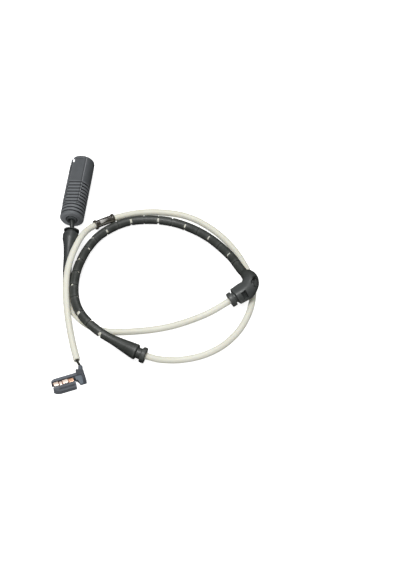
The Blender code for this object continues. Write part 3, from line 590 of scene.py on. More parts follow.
def ivory(name):
    s = Shade(name)
    big = s.noise(38.0, 3.0)
    mott = s.noise(700.0, 4.0, 0.55)
    col = s.ramp(big, [(0.28, srgb(226, 225, 210)), (0.5, srgb(231, 230, 217)), (0.75, srgb(235, 235, 224))])
    col = s.mix(col, srgb(222, 216, 188), s.span(mott, 0.0, 0.28, 0.55, 0.8))
    speck = s.noise(3200.0, 2.0, 0.6)
    col = s.mix(col, srgb(196, 190, 164), s.span(speck, 0.0, 0.35, 0.70, 0.80))
    rough = s.span(mott, 0.36, 0.52)
    n1 = s.bump(s.noise(2400.0, 3.0, 0.6), 0.10, 0.0001)
    n2 = s.bump(s.noise(180.0, 2.0), 0.12, 0.0006, n1)
    return s.done(col, rough, n2, spec=0.35, sss=0.18)


def plug_painted_light(s, col):
    """Painted shade in the grooves and over the right side, a painted shadow line and a painted highlight along the
    panel's edge, and painted light on the back face's left.
    """
    py = math.radians(PLUG_YAW)
    ax, rt = Vector((math.cos(py), math.sin(py), 0)), Vector((math.sin(py), -math.cos(py), 0))
    o = at(*PLUG_BACK)
    q, r, z = s.along(o, ax), s.along(o, rt), s.along(o, Vector((0, 0, 1)))
    f = s.calc("FRACT", s.calc("MULTIPLY_ADD", q, 1.0 / GROOVE_PITCH, -GROOVE_FIRST / GROOVE_PITCH))
    half = GROOVE_W / GROOVE_PITCH / 2.0
    d = s.calc("ABSOLUTE", s.calc("SUBTRACT", f, half))
    m = s.calc("MULTIPLY", s.span(d, 1.0, 0.0, half - 0.05, half + 0.03), s.band(q, 1.6, 27.6, 0.1))
    # painted shade: the housing's right side is made darker
    col = s.mix(col, srgb(34, 35, 36), s.span(r, 0.0, 0.30, 3.6, 6.4))
    # painted shade in the grooves, strongest on the right
    col = s.mix(col, srgb(26, 27, 28), s.calc("MULTIPLY", m, s.span(r, 0.52, 0.90, 2.4, 5.0)))
    top = s.calc("MULTIPLY", s.span(z, 0.0, 1.0, 7.2, 7.5), s.band(q, 9.0, 48.5, 0.2))
    # painted shadow line just inside the panel's right edge
    col = s.mix(col, srgb(40, 42, 44), s.calc("MULTIPLY", top, s.calc("MULTIPLY", s.band(r, 2.35, 3.1, 0.12), 0.45)))
    # painted highlight along the panel's right edge
    col = s.mix(col, srgb(176, 178, 182), s.calc("MULTIPLY", top, s.calc("MULTIPLY", s.band(r, 3.25, 3.9, 0.1), 0.55)))
    # painted light on the left part of the back face
    back = s.calc("MULTIPLY", s.span(q, 1.0, 0.0, 0.2, 0.6), s.span(r, 0.75, 0.2, -3.0, 5.0))
    return s.mix(col, srgb(138, 141, 145), back)


def head_tones_and_painted_light(s, col):
    """Painted highlight on the facet, a paler jaw, a darker block top and thin dark lines on the jaw."""
    hy = math.radians(HEAD_YAW)
    hx, hv = Vector((math.cos(hy), math.sin(hy), 0)), Vector((-math.sin(hy), math.cos(hy), 0))
    o = at(HEAD_O[0], HEAD_O[1], 0.0)
    u, v, z = s.along(o, hx), s.along(o, hv), s.along(o, Vector((0, 0, 1)))
    block = s.span(u, 0.0, 1.0, 15.6, 16.2)
    col = s.mix(col, srgb(34, 38, 42), s.calc("MULTIPLY", block, s.span(z, 0.0, 0.62, 6.2, 6.5)))
    # painted highlight: the sloped facet is made paler, as where it faces the light
    facet = s.calc("MULTIPLY", s.band(u, 15.5, 19.95, 0.1), s.calc("MULTIPLY", s.span(v, 1.0, 0.0, -0.8, -0.5), s.band(z, 1.0, 6.0, 0.2)))
    col = s.mix(col, srgb(146, 158, 168), s.calc("MULTIPLY", facet, 0.5))
    jaw = s.calc("MULTIPLY", s.span(u, 1.0, 0.0, 15.1, 15.3), s.span(v, 1.0, 0.0, -3.7, -3.5))
    col = s.mix(col, srgb(122, 126, 131), s.calc("MULTIPLY", jaw, 0.55))
    f = s.calc("FRACT", s.calc("MULTIPLY_ADD", z, 0.62, s.calc("MULTIPLY", v, -0.55)))
    lines = s.calc("MULTIPLY", s.span(f, 1.0, 0.0, 0.16, 0.30), s.calc("MULTIPLY", jaw, s.band(u, 4.2, 14.3, 0.5)))
    return s.mix(col, srgb(40, 43, 46), s.calc("MULTIPLY", lines, 0.55))


def spring_painted_shade(s, col):
    """The low end of the strip is browner: painted shade in the low valley."""
    hy = math.radians(HEAD_YAW)
    hx = Vector((math.cos(hy), math.sin(hy), 0))
    o = at(HEAD_O[0], HEAD_O[1], 0.0)
    low = s.calc("MULTIPLY", s.span(s.along(o, hx), 0.0, 1.0, 10.6, 11.4), 0.85)
    return s.mix(col, srgb(226, 168, 130), low)


# plug: the lighter edges (wear=) are partly wear, partly a painted highlight; tones= adds painted light and shade by
# place
M_PLUG = plastic("plug_plastic", (83, 86, 88), (91, 94, 97), (99, 102, 105), wear=(140, 143, 147), tones=plug_painted_light)
M_INSERT = plastic("insert_plastic", (96, 98, 100), (110, 112, 114), (122, 124, 126))
M_BRASS = metal("terminal_brass", (176, 140, 70), (226, 196, 118))
M_FACE = rubber("face_seal_rubber", (60, 34, 24), (78, 46, 32), (92, 56, 40))
M_SEAL = rubber("seal_rubber", (60, 63, 65), (68, 71, 73), (76, 79, 81))
M_JACKET = rubber("jacket_black", (44, 46, 45), (52, 55, 54), (60, 63, 62), 0.3, 0.45, 0.5)
M_CORE_A = rubber("core_black", (36, 36, 36), (48, 48, 48), (60, 60, 60))
M_CORE_B = rubber("core_brown", (70, 44, 28), (92, 58, 38), (110, 72, 48))
# boot and conduit: under= is a painted shade on their undersides; wear= lightens sharp edges, partly wear and partly a
# painted highlight
M_BOOT = rubber("boot_rubber", (48, 51, 51), (57, 60, 60), (66, 69, 69), 0.34, 0.48, 0.6, wear=(92, 95, 94), under=(22, 24, 23))
M_CONDUIT = rubber("conduit_rubber", (48, 51, 48), (57, 60, 57), (66, 69, 66), 0.34, 0.48, 0.6, wear=(92, 94, 91), under=(22, 24, 22))
M_SHEATH = ivory("sheath_ivory")
M_WIRE = rubber("wire_black", (40, 42, 36), (54, 56, 48), (70, 70, 60), 0.3, 0.45)
M_CLIP = plastic("clip_plastic", (44, 42, 36), (58, 55, 48), (72, 68, 60), 0.16, 0.3, 0.55, coat=0.4)
# head: the lighter edges (wear=) are partly wear, partly a painted highlight; tones= adds a painted highlight on the
# facet
M_HEAD = plastic("head_plastic", (58, 63, 68), (66, 71, 77), (75, 80, 87), wear=(112, 117, 126), tones=head_tones_and_painted_light)
# spring: the near-white colour on faces that point up is a painted reflection; the slope colour and the browner low end
# are painted shade
M_SPRING = metal("spring_copper", (250, 222, 202), (255, 240, 228), 0.2, 0.34, amount=0.3, slope=(150, 92, 62), tones=spring_painted_shade)
M_LOOP = metal("loop_copper", (186, 104, 66), (224, 150, 104))


def retouch(m, colour, amount, mask):
    """Mix a colour into a material where mask says."""
    s = Shade.__new__(Shade)
    s.m, s.t, s.b = m, m.node_tree, m.node_tree.nodes["Principled BSDF"]
    s.co = s.new("ShaderNodeTexCoord").outputs["Object"]
    old = s.b.inputs["Base Color"].links[0].from_socket
    s.wire(s.mix(old, srgb(*colour), s.calc("MULTIPLY", mask(s), amount)), s.b.inputs["Base Color"])


def ball(centre, radius, soft=0.35):
    def mask(s):
        v = s.new("ShaderNodeVectorMath", operation="DISTANCE")
        s.wire(s.co, v.inputs[0])
        v.inputs[1].default_value = tuple(centre)
        return s.span(v.outputs["Value"], 1.0, 0.0, radius * (1 - soft) * MM, radius * (1 + soft) * MM)
    return mask

# ------------------------------------------------------------------ free cable
# the pale sheath: from the upper boot, through elbow and conduit, to the head
SH_A, SH_B = B1, AT["sheath_end"] - 1.0


def sheath_r(s):
    d = min(abs(s - K0), abs(s - K1))
    inside = K0 <= s <= K1
    return SHEATH_NECK_R + (0.0 if inside else (SHEATH_R - SHEATH_NECK_R) * ease(d / 0.5))


sh = stops(SH_A, SH_A + 0.3, K0 - 0.5, K0, K1, K1 + 0.5, SH_B - 0.3, SH_B, step=2.0)
bm = bmesh.new()
N_SH = 28
rows = []
for s in sh:
    r = sheath_r(s)
    if s in (SH_A, SH_B):
        r -= 0.22
    rows.append(run_ring(bm, s, N_SH, r))
for a, b in zip(rows, rows[1:]):
    bridge(bm, a, b)
for end, sign in ((SH_A, 1), (SH_B, -1)):
    mouth = rows[0] if sign > 0 else rows[-1]
    lip = run_ring(bm, end + sign * 0.0, N_SH, SHEATH_BORE_R + 0.12)
    i1 = run_ring(bm, end + sign * 0.15, N_SH, SHEATH_BORE_R)
    i2 = run_ring(bm, end + sign * 5.0, N_SH, SHEATH_BORE_R)
    if sign > 0:
        bridge(bm, lip, mouth)
        bridge(bm, i1, lip)
        bridge(bm, i2, i1)
        fan(bm, i2, at(*RUN.pos(end + 5.0)), False)
    else:
        bridge(bm, mouth, lip)
        bridge(bm, lip, i1)
        bridge(bm, i1, i2)
        fan(bm, i2, at(*RUN.pos(end - 5.0)), True)
sheath = soften(finish(bm, "pale_sheath", M_SHEATH))
give(sheath, "sheath", slot="sheath_ivory")

JACKET_END = B1 - 4.0


def cable(name, s0, s1, step, radius, mat):
    cu = bpy.data.curves.new(name, "CURVE")
    cu.dimensions = "3D"
    cu.bevel_depth = radius * MM
    cu.bevel_resolution = 5
    cu.use_fill_caps = True
    cu.resolution_u = 1
    cu.render_resolution_u = 0
    pts = spread(s0, s1, step)
    sp = cu.splines.new("POLY")
    sp.points.add(len(pts) - 1)
    for q, s in zip(sp.points, pts):
        q.co = (*at(*RUN.pos(s)), 1.0)
    sp.use_smooth = True
    ob = bpy.data.objects.new(name, cu)
    bpy.context.scene.collection.objects.link(ob)
    cu.materials.append(mat)
    return ob


wire = cable("inner_wire", JACKET_END + 0.4, AT["wire_end"], 2.0, WIRE_R, M_WIRE)
give(wire, "sensor_wire", slot="wire_black")

jk = stops(0.0, 0.2, JACKET_END, step=0.7)
jacket = soften(run_tube("lead_sleeve", [(s, JACKET_R - (0.15 if s < 0.1 else 0.0), 0.0) for s in jk], 28, M_JACKET))
give(jacket, "lead_jacket", slot="jacket_black")

# ------------------------------------------------------------------------ plug
PY = math.radians(PLUG_YAW)
P_AX = Vector((math.cos(PY), math.sin(PY), 0))
P_RT = Vector((math.sin(PY), -math.cos(PY), 0))
P_UP = Vector((0, 0, 1))
P_O = at(*PLUG_BACK)


def plug_dir(deg):
    a = math.radians(deg)
    return P_UP * math.cos(a) + P_RT * math.sin(a)


EDGE = math.degrees(math.atan2(PANEL_HALF, PANEL_DIST))
PANEL_A, PANEL_B = 9.35, PLUG_LEN - 2.3
RAILS = ((-55.5, 2.6, 0.42, 9.6, 33.0), (-66.5, 2.2, 0.40, 9.6, 45.0))


def groove(s, first=0):
    """0 on the ribs, 1 at the bottom of a groove, with rounded shoulders."""
    for k in range(first, GROOVES):
        g = GROOVE_FIRST + GROOVE_PITCH * k
        d = min(s - g, g + GROOVE_W - s)
        if d > -0.06:
            return ease((d + 0.06) / 0.24)
    return 0.0


def plug_r(s, a):
    """The housing's outer radius at s along the axis, a degrees from the top."""
    end = 0.0
    if s < 1.3:
        x = 1.0 - s / 1.3
        end = 1.75 * (1.0 - math.sqrt(max(0.0, 1.0 - x * x)))
    if s > PLUG_LEN - 0.45:
        end += 0.35 * ((s - (PLUG_LEN - 0.45)) / 0.45) ** 2
    r = PLUG_R - (0.78 + 0.4 * ease((a - 24.0) / 4.0) * (1.0 - ease((a - 120.0) / 20.0))) * groove(s) - end - (0.22 if s > PLUG_LEN - 1.15 else 0.0)
    d = a - PANEL_TILT
    if abs(d) <= EDGE + 0.01 and PANEL_A - 0.01 <= s <= PANEL_B + 0.01:
        flat = PANEL_DIST - 0.62 * groove(s, 3)
        edge = 0.24 * max(0.0, (abs(d) - EDGE + 1.6) / 1.6) - 0.12 * max(0.0, 1.0 - abs(abs(d) - EDGE + 2.2) / 0.9)
        return flat / math.cos(math.radians(min(abs(d), EDGE))) - edge
    # slim rail beside the panel, with a small latch bump at its front end
    if EDGE + 0.2 < d < EDGE + 3.6 and PANEL_A <= s <= PANEL_B:
        r -= 0.45 * (1.0 - ease((d - EDGE - 1.6) / 2.0))
    for mid, half, high, sa, sb in RAILS:
        if sa <= s <= sb:
            x = (a - mid) / half
            if abs(x) < 1.0:
                r = max(r, PLUG_R + high * (1.0 - abs(x) ** 4) * ease(min(s - sa, sb - s) / 0.6))
    if 31.5 <= s <= 36.0:
        x = (a + 58.0) / 9.0
        if abs(x) < 1.0:
            r = max(r, PLUG_R + 0.45 * (1 - x ** 4) * ease(min(s - 31.5, 36.0 - s) / 0.7))
    return r


angles = [PANEL_TILT + d for d in
          [x * 3.0 for x in range(-10, 11)] + [-EDGE, -EDGE + 0.8, -EDGE + 1.6, EDGE - 1.6, EDGE - 0.8, EDGE, EDGE - 2.2, EDGE - 3.1, -EDGE + 2.2, -EDGE + 3.1,
                                               -EDGE - 0.35, EDGE + 0.35, EDGE + 1.6, EDGE + 2.4, EDGE + 3.6]]
for mid, half, high, sa, sb in RAILS:
    angles += [mid + half * x for x in (-1.0, -0.92, -0.7, -0.4, 0.0, 0.4, 0.7, 0.92, 1.0)]
a = PANEL_TILT + EDGE + 5.0
while a < 360 - 70.5:
    angles.append(a)
    a += 3.6
angles = sorted(set(round(x, 3) for x in angles))
ss = [0.0, 0.06, 0.16, 0.3, 0.5, 0.75, 1.0, 1.3, 1.55]
for k in range(GROOVES):
    g = GROOVE_FIRST + GROOVE_PITCH * k
    ss += [g - 0.06, g, g + 0.06, g + 0.12, g + 0.18, g + 0.575, g + 0.97, g + 1.03, g + 1.09, g + 1.15, g + 1.21, g + 1.98]
ss += [PANEL_A - 0.02, PANEL_A, 9.6, 10.2]
ss += spread(28.6, PANEL_B - 0.25, 0.9)
ss += [31.5, 31.85, 32.2, 33.4, 33.7, 34.0, 35.3, 35.65, 36.0]
ss += [PANEL_B - 0.1, PANEL_B, PANEL_B + 0.06, PANEL_B + 0.6, PLUG_LEN - 1.3, PLUG_LEN - 1.16, PLUG_LEN - 1.14, PLUG_LEN - 1.0, PLUG_LEN - 0.45, PLUG_LEN - 0.3,
       PLUG_LEN - 0.15, PLUG_LEN - 0.05, PLUG_LEN]
ss = sorted(set(round(x, 3) for x in ss))
bm = bmesh.new()
rows = []
for s in ss:
    rows.append([bm.verts.new(P_O + P_AX * (s * MM) + plug_dir(a) * (plug_r(s, a) * MM)) for a in angles])
for p, q in zip(rows, rows[1:]):
    bridge(bm, p, q)
inner = [(PLUG_LEN, LATCH_R + 0.25), (PLUG_LEN - 0.1, LATCH_R + 0.08), (PLUG_LEN - 0.25, LATCH_R),
         (PLUG_LEN - LATCH_DEPTH, LATCH_R), (PLUG_LEN - LATCH_DEPTH - 0.5, MOUTH_R),
         (PLUG_LEN - 15.0, MOUTH_R), (PLUG_LEN - MOUTH_DEPTH, MOUTH_R), (PLUG_LEN - MOUTH_DEPTH, 5.25),
         (15.0, 5.25), (6.2, 5.25), (6.2, 4.05), (0.25, 4.05), (0.0, 4.3), (0.0, 5.4)]
irows = [[bm.verts.new(P_O + P_AX * (s * MM) + plug_dir(a) * (r * MM)) for a in angles] for s, r in inner]
bridge(bm, rows[-1], irows[0])
for p, q in zip(irows, irows[1:]):
    bridge(bm, p, q)
bridge(bm, irows[-1], rows[0])
housing = finish(bm, "plug_shell", M_PLUG)
for deg, lo, hi in ((-47.0, (-3.1, 4.6, PLUG_LEN - 5.7), (1.9, 11.0, PLUG_LEN - 2.0)),
                    (-57.0, (-1.25, 4.3, PLUG_LEN - 3.4), (1.25, 11.3, PLUG_LEN + 1.5))):
    bm = bmesh.new()
    wn = plug_dir(deg)
    ww = wn.cross(P_AX)
    if ww.dot(P_RT) < 0:
        ww = -ww
    box(bm, P_O, ww, wn, P_AX, lo, hi)
    combine(housing, finish(bm, "tool"), "DIFFERENCE")
soften(housing, 32)
give(housing, "plug_housing", slot="plug_plastic")

insert = lathe("terminal_carrier", P_O, P_AX, P_RT, P_UP,
               [(6.55, 4.6), (6.8, 4.9), (20.0, 4.9), (34.5, 4.9), (34.85, 4.75), (35.0, 4.4)], 56, M_INSERT, solid=True)
bm = bmesh.new()
for sx in (-1, 1):
    c = P_O + P_RT * (2.1 * sx * MM)
    a_ = ring(bm, c + P_AX * (8.0 * MM), P_RT, P_UP, 1.42 * MM, 28)
    b_ = ring(bm, c + P_AX * (38.0 * MM), P_RT, P_UP, 1.42 * MM, 28)
    bridge(bm, a_, b_)
    bm.faces.new(a_)
    bm.faces.new(list(reversed(b_)))
combine(insert, finish(bm, "tool"), "DIFFERENCE")
bm = bmesh.new()
a_ = ring(bm, P_O + P_AX * (5.0 * MM), P_RT, P_UP, 4.2 * MM, 40)
b_ = ring(bm, P_O + P_AX * (10.5 * MM), P_RT, P_UP, 4.2 * MM, 40)
bridge(bm, a_, b_)
bm.faces.new(a_)
bm.faces.new(list(reversed(b_)))
combine(insert, finish(bm, "tool"), "DIFFERENCE")
bm = bmesh.new()
box(bm, P_O, P_RT, P_UP, P_AX, (-0.35, 2.2, 33.6), (0.35, 6.0, 36.0))
box(bm, P_O, P_RT, P_UP, P_AX, (-0.35, -6.0, 33.6), (0.35, -2.2, 36.0))
combine(insert, finish(bm, "tool"), "DIFFERENCE")
soften(rounded(insert, 0.12, 2, 50), 35)
give(insert, "plug_insert", slot="insert_plastic")

for sx, nm in ((-1, "terminal_a"), (1, "terminal_b")):
    c = P_O + P_RT * (2.1 * sx * MM)
    tm = lathe(nm + "_socket", c, P_AX, P_RT, P_UP,
               [(16.0, 0.55), (16.0, 1.0), (16.12, 1.1), (22.0, 1.1), (22.3, 0.98), (23.4, 0.98), (23.7, 1.1),
                (33.9, 1.1), (34.1, 1.02), (34.2, 0.86), (34.1, 0.62), (33.7, 0.55)], 32, M_BRASS)
    soften(tm, 40)
    give(tm, nm, slot="terminal_brass")
prof = [(25.6, 5.25), (25.6, 5.85)]
for k in range(3):
    q = 25.75 + k * 1.0
    prof += [(q, 6.0), (q + 0.2, 6.13), (q + 0.45, 6.15), (q + 0.7, 6.0), (q + 0.85, 5.86)]
prof += [(28.75, 5.9), (28.8, 5.25)]
seal = lathe("mouth_seal", P_O, P_AX, P_RT, P_UP, prof, 56, M_FACE)
soften(seal, 50)
give(seal, "face_seal", slot="face_seal_rubber")
prof = [(-0.55, 1.9), (-0.8, 2.05), (-0.9, 2.35), (-0.9, 2.9), (-0.75, 3.3), (-0.45, 3.6), (0.0, 3.7)]
for k in range(3):
    q = 0.6 + 1.5 * k
    prof += [(q, 3.7), (q + 0.25, 3.45), (q + 0.65, 3.45), (q + 0.9, 3.7)]
prof += [(5.3, 3.68), (5.6, 3.45), (5.7, 3.1), (5.7, 1.9)]
ws = lathe("rear_wire_seal", P_O, P_AX, P_RT, P_UP, prof, 56, M_SEAL)
soften(ws, 45)
give(ws, "wire_seal", slot="seal_rubber")
for sx, nm, mt, sl in ((-1, "core_a", M_CORE_A, "core_black"), (1, "core_b", M_CORE_B, "core_brown")):
    bm = bmesh.new()
    line = [(4.9, 0.72), (5.8, 0.78), (6.6, 0.95), (7.6, 1.4), (8.6, 1.85), (9.6, 2.05), (10.6, 2.1), (13.0, 2.1), (15.6, 2.1)]
    rws = [ring(bm, P_O + P_AX * (s * MM) + P_RT * (off * sx * MM), P_RT, P_UP, 0.42 * MM, 16) for s, off in line]
    for p, q in zip(rws, rws[1:]):
        bridge(bm, p, q)
    fan(bm, rws[0], P_O + P_AX * (4.9 * MM) + P_RT * (0.72 * sx * MM), True)
    fan(bm, rws[-1], P_O + P_AX * (15.6 * MM) + P_RT * (2.1 * sx * MM))
    cr = soften(finish(bm, nm + "_lead", mt))
    give(cr, nm, slot=sl)

# ------------------------------------------------------------------ upper boot
BOOT = [(B0 - 0.9, 4.55), (B0 - 0.75, 4.85), (B0 - 0.5, 5.08), (B0 - 0.2, 5.2), (B0 + 0.7, 5.25), (B0 + 0.9, 5.15),
        (B0 + 1.0, 4.9), (B0 + 1.1, 4.0), (B0 + 1.2, 3.6), (B0 + 3.1, 3.6), (B0 + 3.2, 4.0),
        (B0 + 3.3, 4.9), (B0 + 3.5, 5.2), (B0 + 3.9, 5.27), (B0 + 5.5, 5.27), (B0 + 7.2, 5.22), (B0 + 8.4, 4.9),
        (B0 + 9.8, 4.45), (B0 + 11.4, 4.1), (B0 + 13.0, 3.8), (B1 - 1.0, 3.52), (B1 + 1.2, 3.3), (B1 + 3.4, 3.1),
        (B1 + 5.6, 2.98), (B1 + 9.0, 2.92), (B1 + 12.0, 2.9), (B1 + 20.0, 2.9), (B2 - 0.5, 2.9), (B2 - 0.15, 2.84),
        (B2, 2.72)]
bs = stops(*[s for s, _ in BOOT], step=1.0)
outer = [(s, table(BOOT, s)[0], 0.0) for s in bs]
inner = [(B0 - 0.9, JACKET_R + FIT + 0.2, 0.0), (B0 - 0.7, JACKET_R + FIT, 0.0)]
inner += [(s, JACKET_R + FIT, 0.0) for s in spread(B0, B1 - 0.8, 1.0)]
inner += [(s, SHEATH_R + FIT, 0.0) for s in spread(B1 - 0.7, B2, 1.0)]
boot = run_tube("upper_boot", outer, 44, M_BOOT, inner=inner)


def across(s, deg):
    """Tangent, outward direction deg round from the bend's inside, and the third axis."""
    t = RUN.tan(s)
    side, up = frame_at(t)
    a = math.radians(deg)
    d = side * math.cos(a) + up * math.sin(a)
    return t, d, t.cross(d).normalized()


def slot_tools(slots, r):
    """Cutters: (s, direction in degrees, width at the floor, width at the skin, floor)."""
    bm = bmesh.new()
    for s, deg, w0, w1, floor_ in slots:
        t, d, e = across(s, deg)
        prism(bm, at(*RUN.pos(s)), t, d, e,
              [(-w0 / 2, floor_), (w0 / 2, floor_), (w1 / 2, r), (w1 / 2, r + 1.6), (-w1 / 2, r + 1.6), (-w1 / 2, r)],
              -r - 1.6, r + 1.6)
    return finish(bm, "tool")


combine(boot, slot_tools([(B1 + 17.5, 180, 1.1, 1.5, 0.2)], 2.9), "DIFFERENCE")
soften(boot, 32)
give(boot, "plug_boot", slot="boot_rubber")

# ------------------------------------------- elbow, slotted conduit, lower boot
SHAPE = [  # s, radius inside the bend, radius outside it
    (E0, 4.5, 4.5), (E0 + 0.12, 4.75, 4.75), (E0 + 0.35, 4.92, 4.92), (E0 + 0.7, 4.97, 4.97), (E0 + 2.75, 4.97, 4.97),
    (E0 + 2.95, 4.88, 4.88), (E0 + 3.05, 4.6, 4.6), (E0 + 3.12, 3.7, 3.7), (E0 + 3.25, 3.6, 3.6), (E0 + 4.25, 3.6, 3.6),
    (E0 + 4.38, 3.75, 3.75), (E0 + 4.45, 4.8, 4.8), (E0 + 4.6, 5.1, 5.1), (E0 + 4.85, 5.2, 5.25),
    (E0 + 8.0, 5.0, 5.9), (E0 + 11.5, 4.5, 7.0), (E0 + 15.0, 4.0, 7.5), (E0 + 18.0, 3.8, 7.5), (E0 + 20.6, 3.6, 6.9),
    (E0 + 23.2, 3.3, 5.7), (E0 + 25.2, 3.1, 4.5), (E0 + 26.0, 3.02, 3.5), (E0 + 26.5, 3.0, 3.1),
    (E0 + 27.2, 3.0, 3.0), (C0, 3.0, 3.0)]
LC = C1 - C0
SHAPE += [(C0 + LC * f, r, r) for f, r in
          [(0.08, 3.1), (0.22, 3.5), (0.34, 3.88), (0.45, 4.25), (0.55, 4.62), (0.62, 4.85), (0.70, 5.05), (0.735, 5.14),
           (0.752, 5.08), (0.762, 4.85), (0.770, 4.0), (0.780, 3.68), (0.80, 3.65)]]
SHAPE += [(C1 - 3.1, 3.65, 3.65), (C1 - 2.95, 3.85, 3.85), (C1 - 2.85, 4.8, 4.8), (C1 - 2.65, 5.08, 5.08),
          (C1 - 2.3, 5.2, 5.2), (C1 - 0.6, 5.2, 5.2), (C1 - 0.25, 5.12, 5.12), (C1 - 0.08, 4.98, 4.98), (C1, 4.75, 4.75)]


# each slot goes on round the conduit as a thin crack
for d, *_ in SLOTS_IN + SLOTS_OUT:
    if d > 0 and E1 + d < C0 - 0.5:
        SHAPE += [(E1 + d + x, r, r) for x, r in ((-0.36, 3.0), (-0.31, 2.62), (0.31, 2.62), (0.36, 3.0))]
SHAPE.sort()


def conduit_extra(s, a):
    """Relief of the conduit's skin: a little unevenness, and a squarer section over part of the elbow."""
    d = 0.0
    if E0 + 27 < s < C1 - 6:
        d -= 0.02 * (noise.noise(Vector((s * 0.25, math.cos(a), math.sin(a)))) + 1.0)
    if E0 + 4.4 < s < E0 + 19.0:
        w = ease((s - E0 - 4.4) / 0.5) * (1.0 - ease((s - E0 - 10.5) / 7.0))
        ra, rb = table(SHAPE, s)
        q = a - math.radians(67.0)
        sq = 1.05 / (abs(math.cos(q)) ** 3.4 + abs(math.sin(q)) ** 3.4) ** (1 / 3.4)
        d += w * (sq - 1.07) * (ra + rb) / 2.0
    return d


cs = stops(*[r[0] for r in SHAPE], step=1.25)
cs = [s for i, s in enumerate(cs) if i == 0 or s - cs[i - 1] > 1e-4]
outer = []
for s in cs:
    ra, rb = table(SHAPE, s)
    outer.append((s, (ra + rb) / 2.0, -(rb - ra) / 2.0))
inner = [(E0, CONDUIT_BORE_R + 0.25, 0.0), (E0 + 0.3, CONDUIT_BORE_R, 0.0)]
inner += [(s, CONDUIT_BORE_R, 0.0) for s in spread(E0 + 1.0, C1 - 1.0, 1.25)]
inner += [(C1 - 0.3, CONDUIT_BORE_R, 0.0), (C1, CONDUIT_BORE_R + 0.25, 0.0)]
conduit = run_tube("slotted_tube", outer, 44, M_CONDUIT, inner=inner, extra=conduit_extra)
slots = [(E1 + d, g, w0 + 0.15, w1 + 0.5, CUT_FLOOR if d > 0 else 1.7) for d, g, w0, w1 in SLOTS_IN]
slots += [(E1 + d, 180 + g, w0, w1, CUT_FLOOR) for d, g, w0, w1 in SLOTS_OUT]
combine(conduit, slot_tools(slots, CONDUIT_R), "DIFFERENCE")
# square pocket in the elbow's outer side
bm = bmesh.new()
t, d, e = across(E0 + 8.8, 150)
box(bm, at(*RUN.pos(E0 + 8.8)), t, d, e, (-1.8, 3.15, -3.5), (1.8, 10.0, 3.5))
combine(conduit, finish(bm, "tool"), "DIFFERENCE")


def skin(s, deg, lift=0.0):
    """A point on the elbow's or conduit's outside."""
    t = RUN.tan(s)
    side, up = frame_at(t)
    ra, rb = table(SHAPE, s)
    a = math.radians(deg)
    r = (ra + rb) / 2.0
    r += conduit_extra(s, a) + lift
    return at(*(RUN.pos(s) - side * ((rb - ra) / 2.0) + side * (math.cos(a) * r) + up * (math.sin(a) * r)))


# curved recess inside the elbow's outer rim
path, _ = smooth_line([skin(E0 + q, g, -0.25) / MM for q, g in
                       ((20.6, 140), (19.6, 126), (18.7, 117), (17.4, 110), (16.3, 108), (15.6, 115), (15.2, 126), (15.2, 140),
                        (15.6, 156))], per=4)
bm = bmesh.new()
rows = []
for i, p in enumerate(path):
    t = (path[min(i + 1, len(path) - 1)] - path[max(i - 1, 0)]).normalized()
    s_, u_ = frame_at(t)
    w = 0.50 + 0.62 * math.sin(math.pi * i / (len(path) - 1)) ** 0.6
    rows.append(ring(bm, p * MM, s_, u_, w * MM, 14, 0.2))
for a, b in zip(rows, rows[1:]):
    bridge(bm, a, b)
bm.faces.new(rows[0])
bm.faces.new(list(reversed(rows[-1])))
combine(conduit, finish(bm, "tool"), "DIFFERENCE")
# two rounded hollows at the recess's ends
for q, g, along_, wide in ((18.3, 122, 1.25, 1.5), (15.9, 110, 0.85, 1.0)):
    t, d, e = across(E0 + q, g)
    bm = bmesh.new()
    bmesh.ops.create_icosphere(bm, subdivisions=4, radius=1.0)
    c = skin(E0 + q, g, 0.1)
    for v in bm.verts:
        v.co = c + (t * (v.co.x * along_) + d * (v.co.y * 1.5) + e * (v.co.z * wide)) * MM
    combine(conduit, finish(bm, "tool"), "DIFFERENCE")
# painted shade on the sheath low down in the slots, where the slot walls keep the light off
for d, *_ in SLOTS_IN[1:9]:
    retouch(M_SHEATH, (46, 47, 42), 0.88, ball(skin(E1 + d, -22, 0.4), 1.95, 0.22))
# paler, bluer patch over the elbow: partly the elbow's own bluer tone, partly a painted highlight on its top
retouch(M_CONDUIT, (100, 103, 105), 0.36, ball(skin(E0 + 10.0, 95), 11.0))
# painted shade: near black in the recess's two hollows
retouch(M_CONDUIT, (12, 13, 13), 0.85, ball(skin(E0 + 18.8, 120, -0.5), 1.75))
retouch(M_CONDUIT, (12, 13, 13), 0.8, ball(skin(E0 + 16.3, 111, -0.5), 1.05))
soften(conduit, 32)
give(conduit, "slotted_conduit", slot="conduit_rubber")

# ------------------------------------------------------------------------ clip
ci = SHEATH_NECK_R + 0.3
CLIP = [(K0 + 0.1, 3.0), (K0 + 0.2, 3.2), (K0 + 0.4, 3.3), (K0 + 1.5, 3.3), (K0 + 1.7, 3.2), (K0 + 1.85, 2.8),
        (K0 + 2.1, 2.66), (K1 - 2.0, 2.56), (K1 - 1.85, 2.7), (K1 - 1.7, 3.15), (K1 - 1.5, 3.28),
        (K1 - 0.4, 3.28), (K1 - 0.2, 3.18), (K1 - 0.1, 3.0)]
ks = stops(*[s for s, _ in CLIP], step=0.8)
clip = run_tube("cable_clip_spool", [(s, table(CLIP, s)[0], 0.0) for s in ks], 44, M_CLIP,
                inner=[(s, ci, 0.0) for s in ks])
bm = bmesh.new()
t = RUN.tan((K0 + K1) / 2)
side, up = frame_at(t)
c = at(*RUN.pos((K0 + K1) / 2))
look = (side * 0.72 + up * 0.25).normalized()
look2 = t.cross(look).normalized()
prism(bm, c, t, look, look2, [(-8.5, 0.8), (8.5, 0.8), (8.5, 4.5), (-8.5, 4.5)], -0.45, 0.45)
combine(clip, finish(bm, "tool"), "DIFFERENCE")
